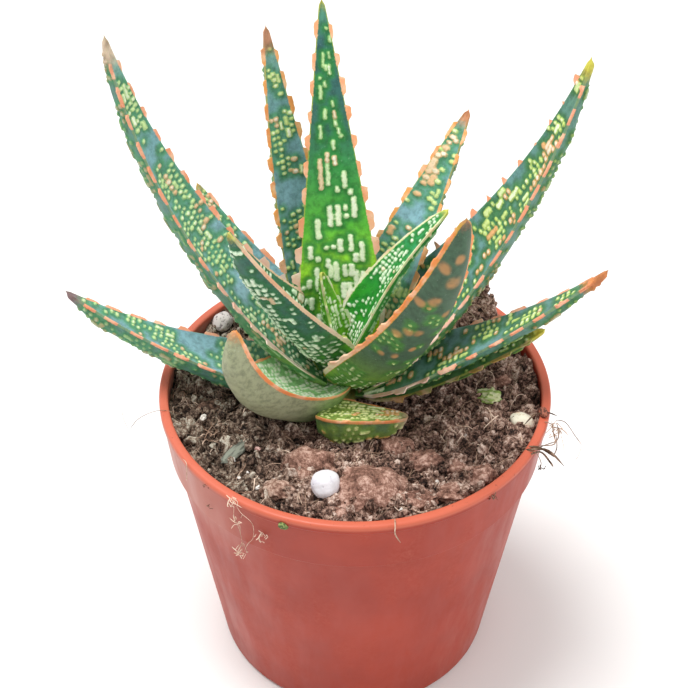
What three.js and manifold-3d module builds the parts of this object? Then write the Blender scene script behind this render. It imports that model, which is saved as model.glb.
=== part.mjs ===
// Potted zebra aloe: a toothed, spotted succulent in a round terracotta-coloured nursery pot.
// Millimetres, +Z up. The origin is the middle of the pot's underside, where it stands.
import * as THREE from 'three';
import { mergeVertices } from 'three/addons/utils/BufferGeometryUtils.js';
import Module from 'manifold-3d';

const wasm = await Module();
wasm.setup();

// Clearance that keeps neighbouring solids apart.
const clearance = 0.3;
const leafClearance = 0.4;

// A 10.5 cm nursery pot: rolled lip, upright collar, tapered wall, drain holes round the middle.
const pot = {
  height: 90,
  rimRadius: 52.5,
  lipRadius: 1.0,
  lipWidth: 2.5,
  collarDepth: 16,
  collarRadius: 51,
  shoulderRadius: 49.6,
  shoulderDrop: 1.2,
  baseRadius: 40,
  baseCorner: 1.5,
  wall: 1.2,
  floor: 1.6,
  segments: 44,
  drainHoles: 6,
  drainRing: 27,
  drainRadius: 3.5,
};

// Potting mix: level below the rim, dished under the rosette, heaped against the rim at the back.
const soil = {
  edgeHeight: 87,
  dishDepth: 4,
  dishSpread: 24,
  lumpHeight: 1.5,
  lumpLength: 11,
  heapHeight: 11,
  heapX: 36,
  heapY: 27,
  heapSpread: 8,
  heapToe: 4,
  rings: 12,
  segments: 36,
};

// Loose grains pressed into the surface: two lumps of white perlite and a chip of bark.
const grains = [
  { name: 'perlite_front', x: -7.6, y: -37, length: 8.2, width: 7.2, height: 6.6, turn: 20 },
  { name: 'perlite_back', x: -37.5, y: 27, length: 6.4, width: 5.6, height: 5, turn: 70 },
  { name: 'bark_chip', x: 44, y: -12.5, length: 6.6, width: 4.4, height: 3.4, turn: 155 },
];
const grainSink = 0.35;

// The short stem stands in a plain hole in the mix and carries every leaf.
const stem = {
  x: -3,
  y: 3,
  rootTip: 48,
  neckHeight: 82,
  topHeight: 103,
  rootRadius: 2,
  neckRadius: 5,
  topRadius: 1.8,
  segments: 16,
};

// A toothed margin: pitch and reach of the horny plates, where along its pitch a plate starts and
// ends, how much shorter the plates are near the tip, and the thickness of the blade's edge.
const margin = {
  pitch: 6.8,
  reach: 1.2,
  tipFade: 0.45,
  edge: 0.7,
  firstTooth: 0.14,
  lastTooth: 0.95,
  plateStart: 0.22,
  plateEnd: 0.74,
};

// The section of every blade: its half width at the tip, the curve of its fleshy underside, and
// how much of the cup is lost on the way to the tip.
const section = { tipHalfWidth: 0.35, roundness: 2.8, cupFade: 0.75, roomSteps: 14 };

// One leaf a row, innermost first. heading is the way it leaves the stem (0 is +X, 90 is +Y)
// and swing its sideways sweep, rise its slope at the stem and lift what the slope gains on the
// way to the tip, root the height where its midline starts and foot how far from the stem that is,
// at footHeading where it starts beside the stem. Angles in degrees, sizes in mm.
// turn and twist roll the blade at its foot and on the way to its tip, cup is how far the edges
// rise for each mm of half width, taper and blunt set how the width fades towards the tip.
const leaves = [
  { name: 'leaf_heart', heading: 150, rise: 76, lift: 0, length: 22, root: 101, foot: 1,
    width: 9, depth: 2.6, cup: 0.55, blunt: 0.35 },
  { name: 'leaf_inner_right', heading: 26, swing: -4, rise: 70, lift: -36, length: 45, root: 101,
    foot: 2, width: 13.5, depth: 3.8, cup: 0.47, blunt: 0.3, taper: 0.92 },
  { name: 'leaf_inner_left', heading: 208, rise: 53, lift: 14, length: 57, root: 98,
    foot: 2, width: 22, depth: 5.4, cup: 0.7, blunt: 0.65 },
  { name: 'leaf_tall', heading: 99, rise: 72, lift: -5, length: 94, root: 95,
    foot: 2, width: 27, depth: 6, cup: 0.25, blunt: 0.1, taper: 1.05 },
  { name: 'leaf_front', heading: 306, rise: 44, lift: 33, length: 86, root: 93,
    foot: 3, width: 26, depth: 5.6, cup: 0.18, blunt: 0.32, taper: 0.88, turn: -10, twist: -10 },
  { name: 'leaf_left_short', heading: 144, rise: 29, lift: 22, length: 59.5, root: 95,
    foot: 3, width: 20, depth: 5.5, cup: 0.35, turn: 12 },
  { name: 'leaf_back_right', heading: 46, swing: 2, rise: 54, lift: -4, length: 73, root: 94,
    foot: 3, width: 23, depth: 6, cup: 0.3, blunt: 0.16, taper: 0.94 },
  { name: 'leaf_back_narrow', heading: 120, rise: 56, lift: 22, length: 92, root: 92,
    foot: 3, width: 22, depth: 6, cup: 0.25 },
  { name: 'leaf_right_long', heading: 12, swing: 4, rise: 40, lift: 34, length: 105, root: 91,
    foot: 4, width: 34, depth: 6.9, cup: 0.29, taper: 1.15, turn: 6, twist: -8 },
  { name: 'leaf_left_long', heading: 165, swing: -12, rise: 38, lift: 39, length: 108, root: 91,
    foot: 4, width: 27, depth: 7.1, cup: 0.31, taper: 1.12, turn: 1, twist: 2 },
  { name: 'leaf_low_right', heading: -9, swing: 6, rise: 23, lift: 21, length: 74.5, root: 90,
    foot: 4, width: 25, depth: 5, cup: 0.08, taper: 1.09, turn: 7, twist: -25 },
  { name: 'leaf_curled_front', heading: 219, swing: 3, rise: -1, lift: 97, length: 50, root: 91,
    foot: 4, width: 29, depth: 8.8, cup: 0.46, blunt: 0.4, turn: 2, twist: 5 },
  { name: 'leaf_low_left', heading: 182, swing: -4, rise: 12, lift: 26, length: 75, root: 87.5,
    foot: 4, width: 28, depth: 7.5, cup: 0.2, taper: 1.07, turn: 2, twist: 14 },
  { name: 'leaf_stub_front', footHeading: -110, heading: -14.5, swing: 5, rise: 4, lift: 3,
    length: 23.2, root: 92.3, foot: 17.6, width: 15, depth: 8.7, cup: 0.12, blunt: 0.63, turn: -18 },
  { name: 'leaf_lowest_right', heading: -2, swing: -2, rise: 11, lift: 21, length: 52.5, root: 89,
    foot: 4, width: 23.5, depth: 5, cup: 0.22, turn: 13, twist: 4 },
];

const degrees = Math.PI / 180;

// A closed skin over a row of loops that all have the same number of points. The first and the
// last loop are closed by strips between their two halves.
function skin(loops) {
  const count = loops[0].length;
  const faces = [];
  const quad = (a, b, c, d) => faces.push(a, b, c, a, c, d);
  for (let row = 0; row < loops.length - 1; row += 1) {
    for (let corner = 0; corner < count; corner += 1) {
      const next = (corner + 1) % count;
      const low = row * count;
      const high = low + count;
      quad(low + corner, high + corner, high + next, low + next);
    }
  }
  const last = (loops.length - 1) * count;
  for (let corner = 0; corner < count / 2 - 1; corner += 1) {
    const mate = count - 1 - corner;
    quad(corner, corner + 1, mate - 1, mate);
    quad(last + mate, last + mate - 1, last + corner + 1, last + corner);
  }
  const geometry = new THREE.BufferGeometry();
  const coordinates = loops.flat().flatMap((point) => point.toArray());
  geometry.setAttribute('position', new THREE.Float32BufferAttribute(coordinates, 3));
  geometry.setIndex(faces);
  return geometry;
}

function toSolid(geometry) {
  const bare = geometry.clone();
  bare.deleteAttribute('normal');
  bare.deleteAttribute('uv');
  const merged = mergeVertices(bare, 1e-4);
  const vertProperties = new Float32Array(merged.attributes.position.array);
  const triVerts = new Uint32Array(merged.index.array);
  return new wasm.Manifold(new wasm.Mesh({ numProp: 3, vertProperties, triVerts }));
}

function toGeometry(solid) {
  const mesh = solid.getMesh();
  const geometry = new THREE.BufferGeometry();
  geometry.setAttribute('position', new THREE.BufferAttribute(mesh.vertProperties, 3));
  geometry.setIndex(new THREE.BufferAttribute(mesh.triVerts, 1));
  geometry.computeVertexNormals();
  return geometry;
}

// The largest of the loose bodies that a cut leaves.
function mainBody(solid) {
  const bodies = solid.decompose();
  return bodies.reduce((largest, body) => (body.volume() > largest.volume() ? body : largest));
}

// Profile points [radius, height] turned round the Z axis.
function turned(profile, segments) {
  const points = profile.map(([radius, height]) => new THREE.Vector2(radius, height));
  return new THREE.LatheGeometry(points, segments).rotateX(Math.PI / 2);
}

// Share of the full width at a share of the way from tip (0) to foot (1).
function widthShare(share, taper, blunt) {
  const footStart = 0.7;
  const footPinch = 0.42;
  const body = blunt * Math.sqrt(share) + (1 - blunt) * share ** taper;
  const foot = Math.max(0, (share - footStart) / (1 - footStart));
  return body * (1 - footPinch * foot ** 2);
}

// Share of the full depth of the blade's fleshy underside at the same place.
function depthShare(share) {
  const tipShare = 0.2;
  const footStart = 0.8;
  const footPinch = 0.35;
  const tip = Math.min(1, (share / tipShare) ** 0.6);
  const foot = Math.max(0, (share - footStart) / (1 - footStart));
  return (0.4 + 0.6 * share) * tip * (1 - footPinch * foot);
}

// Stations along a blade, each with the reach of its horny plates there.
function stations(length) {
  const span = margin.lastTooth - margin.firstTooth;
  const teeth = Math.round(span * length / margin.pitch);
  const pitch = span / teeth;
  const list = [[0, 0], [margin.firstTooth * 0.5, 0]];
  for (let tooth = 0; tooth < teeth; tooth += 1) {
    const start = margin.firstTooth + tooth * pitch;
    const reach = margin.reach * (1 - margin.tipFade * tooth / teeth);
    list.push([start, 0], [start + margin.plateStart * pitch, reach],
      [start + margin.plateEnd * pitch, reach]);
  }
  list.push([margin.lastTooth, 0], [1, 0]);
  return list;
}

// Fewer stations with an even margin as far out as the plates reach, for the room round a blade.
function roomStations() {
  const steps = section.roomSteps;
  return Array.from({ length: steps + 1 }, (_, step) => [step / steps, margin.reach]);
}

// A clockwise outline with each side moved outwards.
function offset(outline, distance) {
  const count = outline.length;
  const normalFrom = (index) => {
    const step = outline[(index + 1) % count].clone().sub(outline[index % count]).normalize();
    return new THREE.Vector2(-step.y, step.x);
  };
  return outline.map((point, index) => {
    const before = normalFrom(index + count - 1);
    const normal = normalFrom(index).add(before).normalize();
    return point.clone().addScaledVector(normal, distance / Math.max(0.5, normal.dot(before)));
  });
}

// A blade lofted along its midline. grow makes it larger all round, to cut room for it.
function leafGeometry(leaf, grow = 0) {
  const { swing = 0, turn = 0, twist = 0, taper = 1, blunt = 0.12 } = leaf;
  const slopeAt = (place) => (leaf.rise + leaf.lift * place) * degrees;
  const headingAt = (place) => (leaf.heading + swing * place) * degrees;
  const directionAt = (place) => new THREE.Vector3(
    Math.cos(slopeAt(place)) * Math.cos(headingAt(place)),
    Math.cos(slopeAt(place)) * Math.sin(headingAt(place)),
    Math.sin(slopeAt(place)));
  const start = (leaf.footHeading ?? leaf.heading) * degrees;
  const middle = new THREE.Vector3(stem.x + leaf.foot * Math.cos(start),
    stem.y + leaf.foot * Math.sin(start), leaf.root);
  let last = 0;
  const places = grow ? roomStations() : stations(leaf.length);
  const loops = places.map(([place, reach]) => {
    middle.addScaledVector(directionAt((place + last) / 2), (place - last) * leaf.length);
    last = place;
    const along = directionAt(place);
    const side = new THREE.Vector3(-Math.sin(headingAt(place)), Math.cos(headingAt(place)), 0);
    side.applyAxisAngle(along, (turn + twist * place) * degrees);
    const inward = new THREE.Vector3().crossVectors(along, side);
    const halfWidth = section.tipHalfWidth + leaf.width / 2 * widthShare(1 - place, taper, blunt);
    const depth = leaf.depth * depthShare(1 - place);
    const cup = leaf.cup * halfWidth * (1 - section.cupFade * place);
    const end = place === 0 ? -grow : grow * (place === 1);
    const edgeSlope = 1.5 * cup / halfWidth;
    const at = (across, under) => {
      const plate = Math.abs(across) === 1 ? reach : 0;
      const thickness = margin.edge + depth * (1 - Math.abs(across) ** section.roundness);
      return new THREE.Vector2(across * (halfWidth + plate),
        cup * across ** 2 + plate * edgeSlope - (under ? thickness : 0));
    };
    const top = [-1, -0.5, 0, 0.5, 1].map((across) => at(across, false));
    const underside = [1, 0.55, 0, -0.55, -1].map((across) => at(across, true));
    return offset([...top, ...underside], grow).map((point) => middle.clone()
      .addScaledVector(side, point.x).addScaledVector(inward, point.y).addScaledVector(along, end));
  });
  return skin(loops);
}

// Round loop of points about the Z axis, with its height given by place.
function loop(radius, heightAt, segments, x = 0, y = 0) {
  return Array.from({ length: segments }, (_, index) => {
    const angle = index / segments * 2 * Math.PI;
    const px = x + radius * Math.cos(angle);
    const py = y + radius * Math.sin(angle);
    return new THREE.Vector3(px, py, heightAt(px, py));
  });
}

// The pot: outside up to the lip, over it, and down the inside to the floor.
function potSolid() {
  const { height, rimRadius, lipRadius, shoulderRadius, wall } = pot;
  const collarFoot = height - pot.collarDepth;
  const shoulder = collarFoot - pot.shoulderDrop;
  const lipFoot = height - 2 * lipRadius;
  const profile = [[0, 0], [pot.baseRadius - pot.baseCorner, 0], [pot.baseRadius, pot.baseCorner],
    [shoulderRadius, shoulder], [pot.collarRadius, collarFoot], [rimRadius, lipFoot]];
  const lipSteps = 3;
  for (let step = 0; step <= lipSteps; step += 1) {
    const angle = step / lipSteps * Math.PI / 2;
    profile.push([rimRadius - lipRadius * (1 - Math.cos(angle)),
      height - lipRadius * (1 - Math.sin(angle))]);
  }
  profile.push([potBore(height), height], [potBore(collarFoot), collarFoot],
    [shoulderRadius - wall, shoulder], [potBore(pot.floor), pot.floor], [0, pot.floor]);
  let solid = toSolid(turned(profile, pot.segments));
  for (let hole = 0; hole < pot.drainHoles; hole += 1) {
    const angle = (hole + 0.5) / pot.drainHoles * 2 * Math.PI;
    const drill = new THREE.CylinderGeometry(pot.drainRadius, pot.drainRadius, 3 * pot.floor, 12);
    drill.rotateX(Math.PI / 2);
    drill.translate(pot.drainRing * Math.cos(angle), pot.drainRing * Math.sin(angle), 0);
    solid = solid.subtract(toSolid(drill));
  }
  return solid;
}

// Inside radius of the pot at a height.
function potBore(height) {
  const shoulder = pot.height - pot.collarDepth - pot.shoulderDrop;
  if (height > shoulder) return pot.rimRadius - pot.lipWidth;
  const share = (height - pot.floor) / (shoulder - pot.floor);
  return pot.baseRadius + (pot.shoulderRadius - pot.baseRadius) * share - pot.wall;
}

// Height of the potting mix at a place.
function soilHeight(x, y) {
  const wave = 2 * Math.PI / soil.lumpLength;
  const lumps = Math.sin(x * wave + 1.7 * Math.sin(y * wave * 0.6))
    * Math.sin(y * wave * 1.1 + 1.3 * Math.sin(x * wave * 0.7) + 0.8);
  const dish = Math.exp(-((Math.hypot(x - stem.x, y - stem.y) / soil.dishSpread) ** 4));
  const toe = Math.min(1, Math.max(0, (potBore(pot.height) - Math.hypot(x, y)) / soil.heapToe));
  const heap = toe * Math.exp(-((Math.hypot(x - soil.heapX, y - soil.heapY) / soil.heapSpread) ** 2));
  return soil.edgeHeight - soil.dishDepth * dish + soil.heapHeight * heap
    + soil.lumpHeight * lumps * (1 - 0.7 * dish);
}

function soilSolid() {
  const collarFoot = pot.height - pot.collarDepth;
  const shoulder = collarFoot - pot.shoulderDrop;
  const floor = pot.floor + clearance;
  const middle = 0.05;
  const radius = potBore(pot.height) - clearance;
  const loops = [loop(middle, () => floor, soil.segments),
    loop(potBore(pot.floor) - clearance, () => floor, soil.segments),
    loop(pot.shoulderRadius - pot.wall - clearance, () => shoulder + clearance / 2, soil.segments),
    loop(radius, () => collarFoot + clearance, soil.segments)];
  for (let ring = soil.rings; ring > 0; ring -= 1) {
    loops.push(loop(radius * ring / soil.rings, soilHeight, soil.segments));
  }
  loops.push(loop(middle, soilHeight, soil.segments));
  return toSolid(skin(loops.reverse()));
}

// The stem tapers up to the growing point, and down to the tip of the main root.
function stemSolid(grow = 0) {
  const heights = [[stem.rootTip, stem.rootRadius], [stem.neckHeight, stem.neckRadius],
    [stem.topHeight - 2, stem.topRadius], [stem.topHeight, stem.topRadius * 0.5]];
  const loops = heights.map(([height, radius], index) => {
    const end = index === 0 ? -grow : grow * (index === heights.length - 1);
    return loop(radius + grow, () => height + end, stem.segments, stem.x, stem.y);
  });
  return toSolid(skin(loops.reverse()));
}

// A rough rounded grain, sunk a little way into the mix.
function grainSolid(grain, grow = 0) {
  const geometry = new THREE.IcosahedronGeometry(1, 1);
  const { position } = geometry.attributes;
  for (let index = 0; index < position.count; index += 1) {
    const point = new THREE.Vector3().fromBufferAttribute(position, index);
    const rough = 1 + 0.09 * Math.sin(4 * point.x + grain.x) * Math.sin(5 * point.y + grain.y);
    point.multiplyScalar(rough);
    position.setXYZ(index, point.x, point.y, point.z);
  }
  geometry.scale(grain.length / 2 + grow, grain.width / 2 + grow, grain.height / 2 + grow);
  geometry.rotateZ(grain.turn * degrees);
  const lift = grain.height * (0.5 - grainSink);
  geometry.translate(grain.x, grain.y, soilHeight(grain.x, grain.y) + lift);
  return toSolid(geometry);
}

// Colours and finishes.
const terracotta = { color: 0xc9543a, roughness: 0.45, metalness: 0 };
const peat = { color: 0x4a3630, roughness: 0.95, metalness: 0 };
const bark = { color: 0x8a6f45, roughness: 0.9, metalness: 0 };
const perlite = { color: 0xe6e2dc, roughness: 0.85, metalness: 0 };
const leafGreen = { color: 0x3f7a5a, roughness: 0.4, metalness: 0 };
const heartGreen = { color: 0x6cab3a, roughness: 0.4, metalness: 0 };

const plant = new THREE.Group();

function place(name, solid, finish) {
  const mesh = new THREE.Mesh(toGeometry(solid), new THREE.MeshStandardMaterial(finish));
  mesh.name = name;
  plant.add(mesh);
}

place('pot', potSolid(), terracotta);
place('stem', stemSolid(), heartGreen);

// Each leaf gives way to the stem and to every leaf further in, so the feet sit cup in cup.
const cutters = [stemSolid(clearance)];
for (const leaf of leaves) {
  let blade = toSolid(leafGeometry(leaf));
  for (const cutter of cutters) blade = blade.subtract(cutter);
  place(leaf.name, mainBody(blade), leaf.width < 18 ? heartGreen : leafGreen);
  cutters.push(toSolid(leafGeometry(leaf, leafClearance)));
}

// The mix has a hole for the stem, a dent under each leaf that presses on it, and grain beds.
let mix = soilSolid();
for (const cutter of cutters) mix = mix.subtract(cutter);
for (const grain of grains) {
  place(grain.name, grainSolid(grain), grain.name === 'bark_chip' ? bark : perlite);
  mix = mix.subtract(grainSolid(grain, clearance));
}
place('potting_mix', mainBody(mix), peat);

export default plant;
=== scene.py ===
# Potted zebra aloe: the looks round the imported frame. Metres, +Z up, pot's underside at z 0.
import math
import random

import bpy
import numpy as np
from mathutils import Euler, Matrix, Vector, noise


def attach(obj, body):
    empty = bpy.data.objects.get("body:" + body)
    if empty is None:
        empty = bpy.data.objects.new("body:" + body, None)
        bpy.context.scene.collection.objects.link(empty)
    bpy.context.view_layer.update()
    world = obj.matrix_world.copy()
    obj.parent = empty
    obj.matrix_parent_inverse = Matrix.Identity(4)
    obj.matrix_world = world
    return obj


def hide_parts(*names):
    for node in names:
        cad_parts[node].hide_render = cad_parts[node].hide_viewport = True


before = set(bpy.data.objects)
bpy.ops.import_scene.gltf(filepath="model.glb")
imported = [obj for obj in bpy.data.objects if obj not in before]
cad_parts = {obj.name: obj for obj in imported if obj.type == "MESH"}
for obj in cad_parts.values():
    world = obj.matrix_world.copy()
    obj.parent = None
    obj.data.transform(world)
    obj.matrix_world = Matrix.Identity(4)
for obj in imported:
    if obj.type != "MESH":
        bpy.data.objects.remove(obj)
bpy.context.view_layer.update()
mm = 0.001
print("frame loaded:", len(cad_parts), "nodes")

# Camera: the photograph's own view, looking down on the rosette.
cameraSetup = {
    "lens": 70.64,
    "sensorWidth": 36,
    "lookDown": 40.2,
    "distance": 354.5 * mm,
    "target": (-2.93 * mm, 0, 103.3 * mm),
}


def makeCamera(setup):
    angle = math.radians(setup["lookDown"])
    back = Vector((0, -math.cos(angle), math.sin(angle)))
    place = Vector(setup["target"]) + back * setup["distance"]
    bpy.ops.object.camera_add(location=place, rotation=(math.pi / 2 - angle, 0, 0))
    camera = bpy.context.active_object
    camera.name = "camera"
    camera.data.lens = setup["lens"]
    camera.data.sensor_width = setup["sensorWidth"]
    camera.data.clip_start = 0.01
    camera.data.clip_end = 20
    bpy.context.scene.camera = camera


makeCamera(cameraSetup)
bpy.context.scene.view_settings.view_transform = "Standard"
print("camera set")


# Small helpers for selecting, shading and finishing.
def deselectAll():
    bpy.ops.object.select_all(action="DESELECT")


def pickOnly(piece):
    deselectAll()
    piece.select_set(True)
    bpy.context.view_layer.objects.active = piece


def inEditMode(piece, work):
    pickOnly(piece)
    bpy.ops.object.mode_set(mode="EDIT")
    bpy.ops.mesh.select_all(action="SELECT")
    work()
    bpy.ops.object.mode_set(mode="OBJECT")


def smoothShade(piece, degrees=40):
    pickOnly(piece)
    bpy.ops.object.shade_smooth_by_angle(angle=math.radians(degrees))


def joinPieces(pieces, name):
    deselectAll()
    for piece in pieces:
        piece.select_set(True)
    bpy.context.view_layer.objects.active = pieces[0]
    bpy.ops.object.join()
    whole = bpy.context.active_object
    whole.name = name
    whole.data.name = name
    return whole


def finishPiece(piece, material, slot, *nodes):
    piece.data.materials.clear()
    piece.data.materials.append(material)
    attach(piece, "root")
    if nodes:
        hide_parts(*nodes)


def readPoints(mesh):
    points = np.empty(len(mesh.vertices) * 3, np.float32)
    mesh.vertices.foreach_get("co", points)
    return points.reshape(-1, 3).astype(float)


def writePoints(mesh, points):
    mesh.vertices.foreach_set("co", points.astype(np.float32).ravel())
    mesh.update()


def writeValues(mesh, name, values):
    attribute = mesh.attributes.get(name) or mesh.attributes.new(name, "FLOAT", "POINT")
    attribute.data.foreach_set("value", values.astype(np.float32))


def newSheet(name, rows, columns):
    # A fresh grid, with the row and the column of each of its points.
    deselectAll()
    bpy.ops.mesh.primitive_grid_add(x_subdivisions=rows, y_subdivisions=columns, size=1)
    piece = bpy.context.active_object
    piece.name = piece.data.name = name
    grid = readPoints(piece.data) + 0.5
    return piece, np.rint(grid[:, 0] * rows).astype(int), np.rint(grid[:, 1] * columns).astype(int)


def newBall(name, level, radius=1):
    deselectAll()
    bpy.ops.mesh.primitive_ico_sphere_add(subdivisions=level, radius=radius)
    piece = bpy.context.active_object
    piece.name = piece.data.name = name
    return piece, readPoints(piece.data)


def roughnessAt(points, density, shift, *fractal):
    places = [Vector(point) * density + Vector(shift) for point in points]
    return np.array([noise.fractal(place, *fractal) for place in places])


def shapeBall(piece, points, shades):
    writePoints(piece.data, points * mm)
    writeValues(piece.data, "toneAndPaintedShade", shades)
    smoothShade(piece, 60)
    return piece


def smoothStep(low, high, value):
    share = np.clip((value - low) / (high - low), 0, 1)
    return share * share * (3 - 2 * share)


def tone(code):
    # A colour from its web code.
    parts = [int(code[index:index + 2], 16) / 255 for index in (1, 3, 5)]
    return [part / 12.92 if part < 0.04045 else ((part + 0.055) / 1.055) ** 2.4 for part in parts] + [1]


class Paint:
    # A material under way. Values and colours are sockets or constants, and a colour may be a web code.
    def __init__(self, name):
        self.material = bpy.data.materials.new(name)
        self.material.use_nodes = True
        self.tree = self.material.node_tree
        self.inputs = self.tree.nodes["Principled BSDF"].inputs

    def feed(self, value, socket):
        if isinstance(value, bpy.types.NodeSocket):
            self.tree.links.new(value, socket)
        else:
            socket.default_value = tone(value) if isinstance(value, str) else value

    def node(self, kind, inputs, **settings):
        node = self.tree.nodes.new(kind)
        for key, value in settings.items():
            setattr(node, key, value)
        for key, value in inputs.items():
            self.feed(value, node.inputs[key])
        return node

    def read(self, name):
        return self.node("ShaderNodeAttribute", {}, attribute_name=name).outputs["Fac"]

    def place(self, axis=None):
        place = self.node("ShaderNodeTexCoord", {}).outputs["Object"]
        return self.node("ShaderNodeSeparateXYZ", {"Vector": place}).outputs[axis] if axis else place

    def noise(self, size, detail=3, roughness=0.55, stretch=None):
        vector = self.place()
        if stretch:
            vector = self.node("ShaderNodeMapping", {"Vector": vector, "Scale": stretch}).outputs[0]
        inputs = {"Vector": vector, "Scale": 1 / size, "Detail": detail, "Roughness": roughness}
        return self.node("ShaderNodeTexNoise", inputs).outputs["Fac"]

    def remap(self, value, low, high, toLow=0.0, toHigh=1.0):
        inputs = {"Value": value, "From Min": low, "From Max": high, "To Min": toLow, "To Max": toHigh}
        return self.node("ShaderNodeMapRange", inputs, interpolation_type="SMOOTHSTEP").outputs[0]

    def plus(self, first, second):
        return self.node("ShaderNodeMath", {0: first, 1: second}, operation="ADD").outputs[0]

    def times(self, first, second):
        return self.node("ShaderNodeMath", {0: first, 1: second}, operation="MULTIPLY").outputs[0]

    def mix(self, share, first, second, blend="MIX"):
        inputs = {0: share, 6: first, 7: second}
        return self.node("ShaderNodeMix", inputs, data_type="RGBA", blend_type=blend).outputs[2]

    def coat(self, base, colour, value, low, high, toLow=0.0, toHigh=1.0, blend="MIX"):
        # The colour laid on the base, more and more as the value goes from low to high.
        return self.mix(self.remap(value, low, high, toLow, toHigh), base, colour, blend)

    def ramp(self, value, stops):
        ramp = self.node("ShaderNodeValToRGB", {"Fac": value})
        while len(ramp.color_ramp.elements) < len(stops):
            ramp.color_ramp.elements.new(0.5)
        for element, (place, code) in zip(ramp.color_ramp.elements, stops):
            element.position = place
            element.color = tone(code)
        return ramp.outputs["Color"]

    def finish(self, skin, gloss, height, strength, depth):
        # gloss is a value, its range and the roughness at both ends of it.
        inputs = {"Height": height, "Strength": strength, "Distance": depth}
        self.feed(skin, self.inputs["Base Color"])
        self.feed(self.remap(*gloss), self.inputs["Roughness"])
        self.feed(self.node("ShaderNodeBump", inputs).outputs["Normal"], self.inputs["Normal"])
        return self.material


# The stem's axis, and what every blade shares with its neighbours. Lengths are in millimetres, as on
# the plan, and places along a blade run from 0 at its foot to 1 at its tip.
stemAxis = {"x": -3, "y": 3}
blade = {
    "step": 0.42,
    "tipHalfWidth": 0.35,
    "waist": 0.7,
    "waistLoss": 0.42,
    "thinFrom": 0.8,
    "thinLoss": 0.35,
    "tipDepth": 0.4,
    "tipRun": 0.2,
    "roundness": 2.8,
    "cupFade": 0.75,
    "edge": 0.7,
    "rimThickness": 0.4,
    "platePitch": 6.8,
    "plateReach": 1.65,
    "plateSpread": (0.68, 1.12),
    "footReach": 1.5,
    "firstPlate": 0.14,
    "lastPlate": 0.95,
    "plateStart": (0.02, 0.24),
    "plateEnd": (0.7, 0.92),
    "farStart": 0.35,
    "farReach": 1.9,
    "rampUp": (0.8, 2.4),
    "rampDown": 0.3,
    "lean": (0.74, 0.34),
    "notch": 0.09,
    "notchPitch": (1.4, 2.4),
    "tipFade": 0.45,
    "footStrip": (0.14, 0.32),
    "stripReach": 0.62,
    "plateLift": 1.5,
    "relief": 0.3,
    "underRelief": 0.5,
    "reliefRamp": (-0.2, 0.5),
    "ripple": 0.14,
    "longWave": 3.1,
    "shortWave": 1.7,
    "topColumns": 54,
    "underColumns": 38,
    "plateColumns": 3,
}

# Dashes are beads in columns along the leaf, joined where they follow each other. column and bead
# are the spacings across and along, join the share of neighbours that are joined, band and run how
# long a cluster and a column's own stretch are, with their weights, and fill how thickly they stand
# at the foot, the middle and the tip. warm is the share that is reddish, and broad how much wider
# than long a bead is.
commonDashes = dict(join=0.25, bandWeight=0.9, run=2.4, runWeight=1.2, skew=0.3, warm=0, broad=1)
dashStyles = {
    "long": dict(column=2, bead=1.3, radius=(0.74, 0.96), join=0.9, band=6.5, run=4.6, runWeight=1.1,
        skew=0.25, fill=(0.42, 0.05, -0.02), warm=0.06),
    "beads": dict(column=1.85, bead=1.6, radius=(0.5, 0.78), join=0.15, band=8.5, bandWeight=1.2,
        skew=0.6, fill=(0.26, 0.08, 0.04), warm=0.1, broad=1.15),
    "wide": dict(column=2.25, bead=1.6, radius=(0.48, 0.74), join=0.12, band=8.5, bandWeight=1.2,
        skew=0.6, fill=(0.2, 0.04, 0), warm=0.12, broad=1.5),
    "sunned": dict(column=2.25, bead=1.65, radius=(0.52, 0.8), join=0.2, band=8, bandWeight=1.1,
        run=2.8, skew=0.6, fill=(0.24, 0.1, 0.06), warm=0.26, broad=1.5),
    "young": dict(column=1.4, bead=1.3, radius=(0.46, 0.66), band=5, run=2.2, runWeight=1.1,
        fill=(0.34, 0.16, 0.02)),
    "dense": dict(column=1.35, bead=1.3, radius=(0.5, 0.7), band=6, bandWeight=0.7, run=2,
        runWeight=0.9, fill=(0.36, 0.4, 0.3)),
    "rows": dict(column=1.8, bead=1.7, radius=(0.52, 0.8), band=6.5, runWeight=1.1, skew=0.5,
        fill=(0.45, 0.22, 0.12)),
    "warts": dict(column=1.9, bead=1.9, radius=(0.5, 0.75), join=0.3, band=8, bandWeight=0.7, run=2.5,
        fill=(-0.02, 0.02, 0.02), warm=0.3),
    "faint": dict(column=2.2, bead=1.9, radius=(0.4, 0.6), join=0.2, band=9, bandWeight=0.6, run=3,
        runWeight=1, fill=(0.55, -0.32, -0.4), warm=0.1),
    "plain": dict(column=4, bead=4, radius=(0.4, 0.5), join=0, band=9, bandWeight=0.2, run=3,
        runWeight=0.2, fill=(-1, -1, -1)),
}

# What all dashes share, in mm. They fill span of a blade and keep clear of its margin. A bead stands
# where cluster, column and fill together pass stands, and the warm ones are bigger. oval is a bead's
# outline, between an ellipse (2) and a box.
dashRules = {
    "span": 0.95,
    "clearShare": 0.94,
    "clear": 0.3,
    "clusterWidth": 9,
    "fillPlaces": [0.05, 0.4, 0.95],
    "stands": 0.08,
    "warmWidth": 4,
    "warmLength": 7,
    "warmSpread": 1.3,
    "warmFrom": 0.62,
    "warmWeight": 1.6,
    "warmGrowth": 0.25,
    "sway": 0.14,
    "oval": 2.6,
    "squeeze": 0.3,
    "wobble": 0.08,
    "window": 2.5,
    "outside": -9.0,
}

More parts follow.
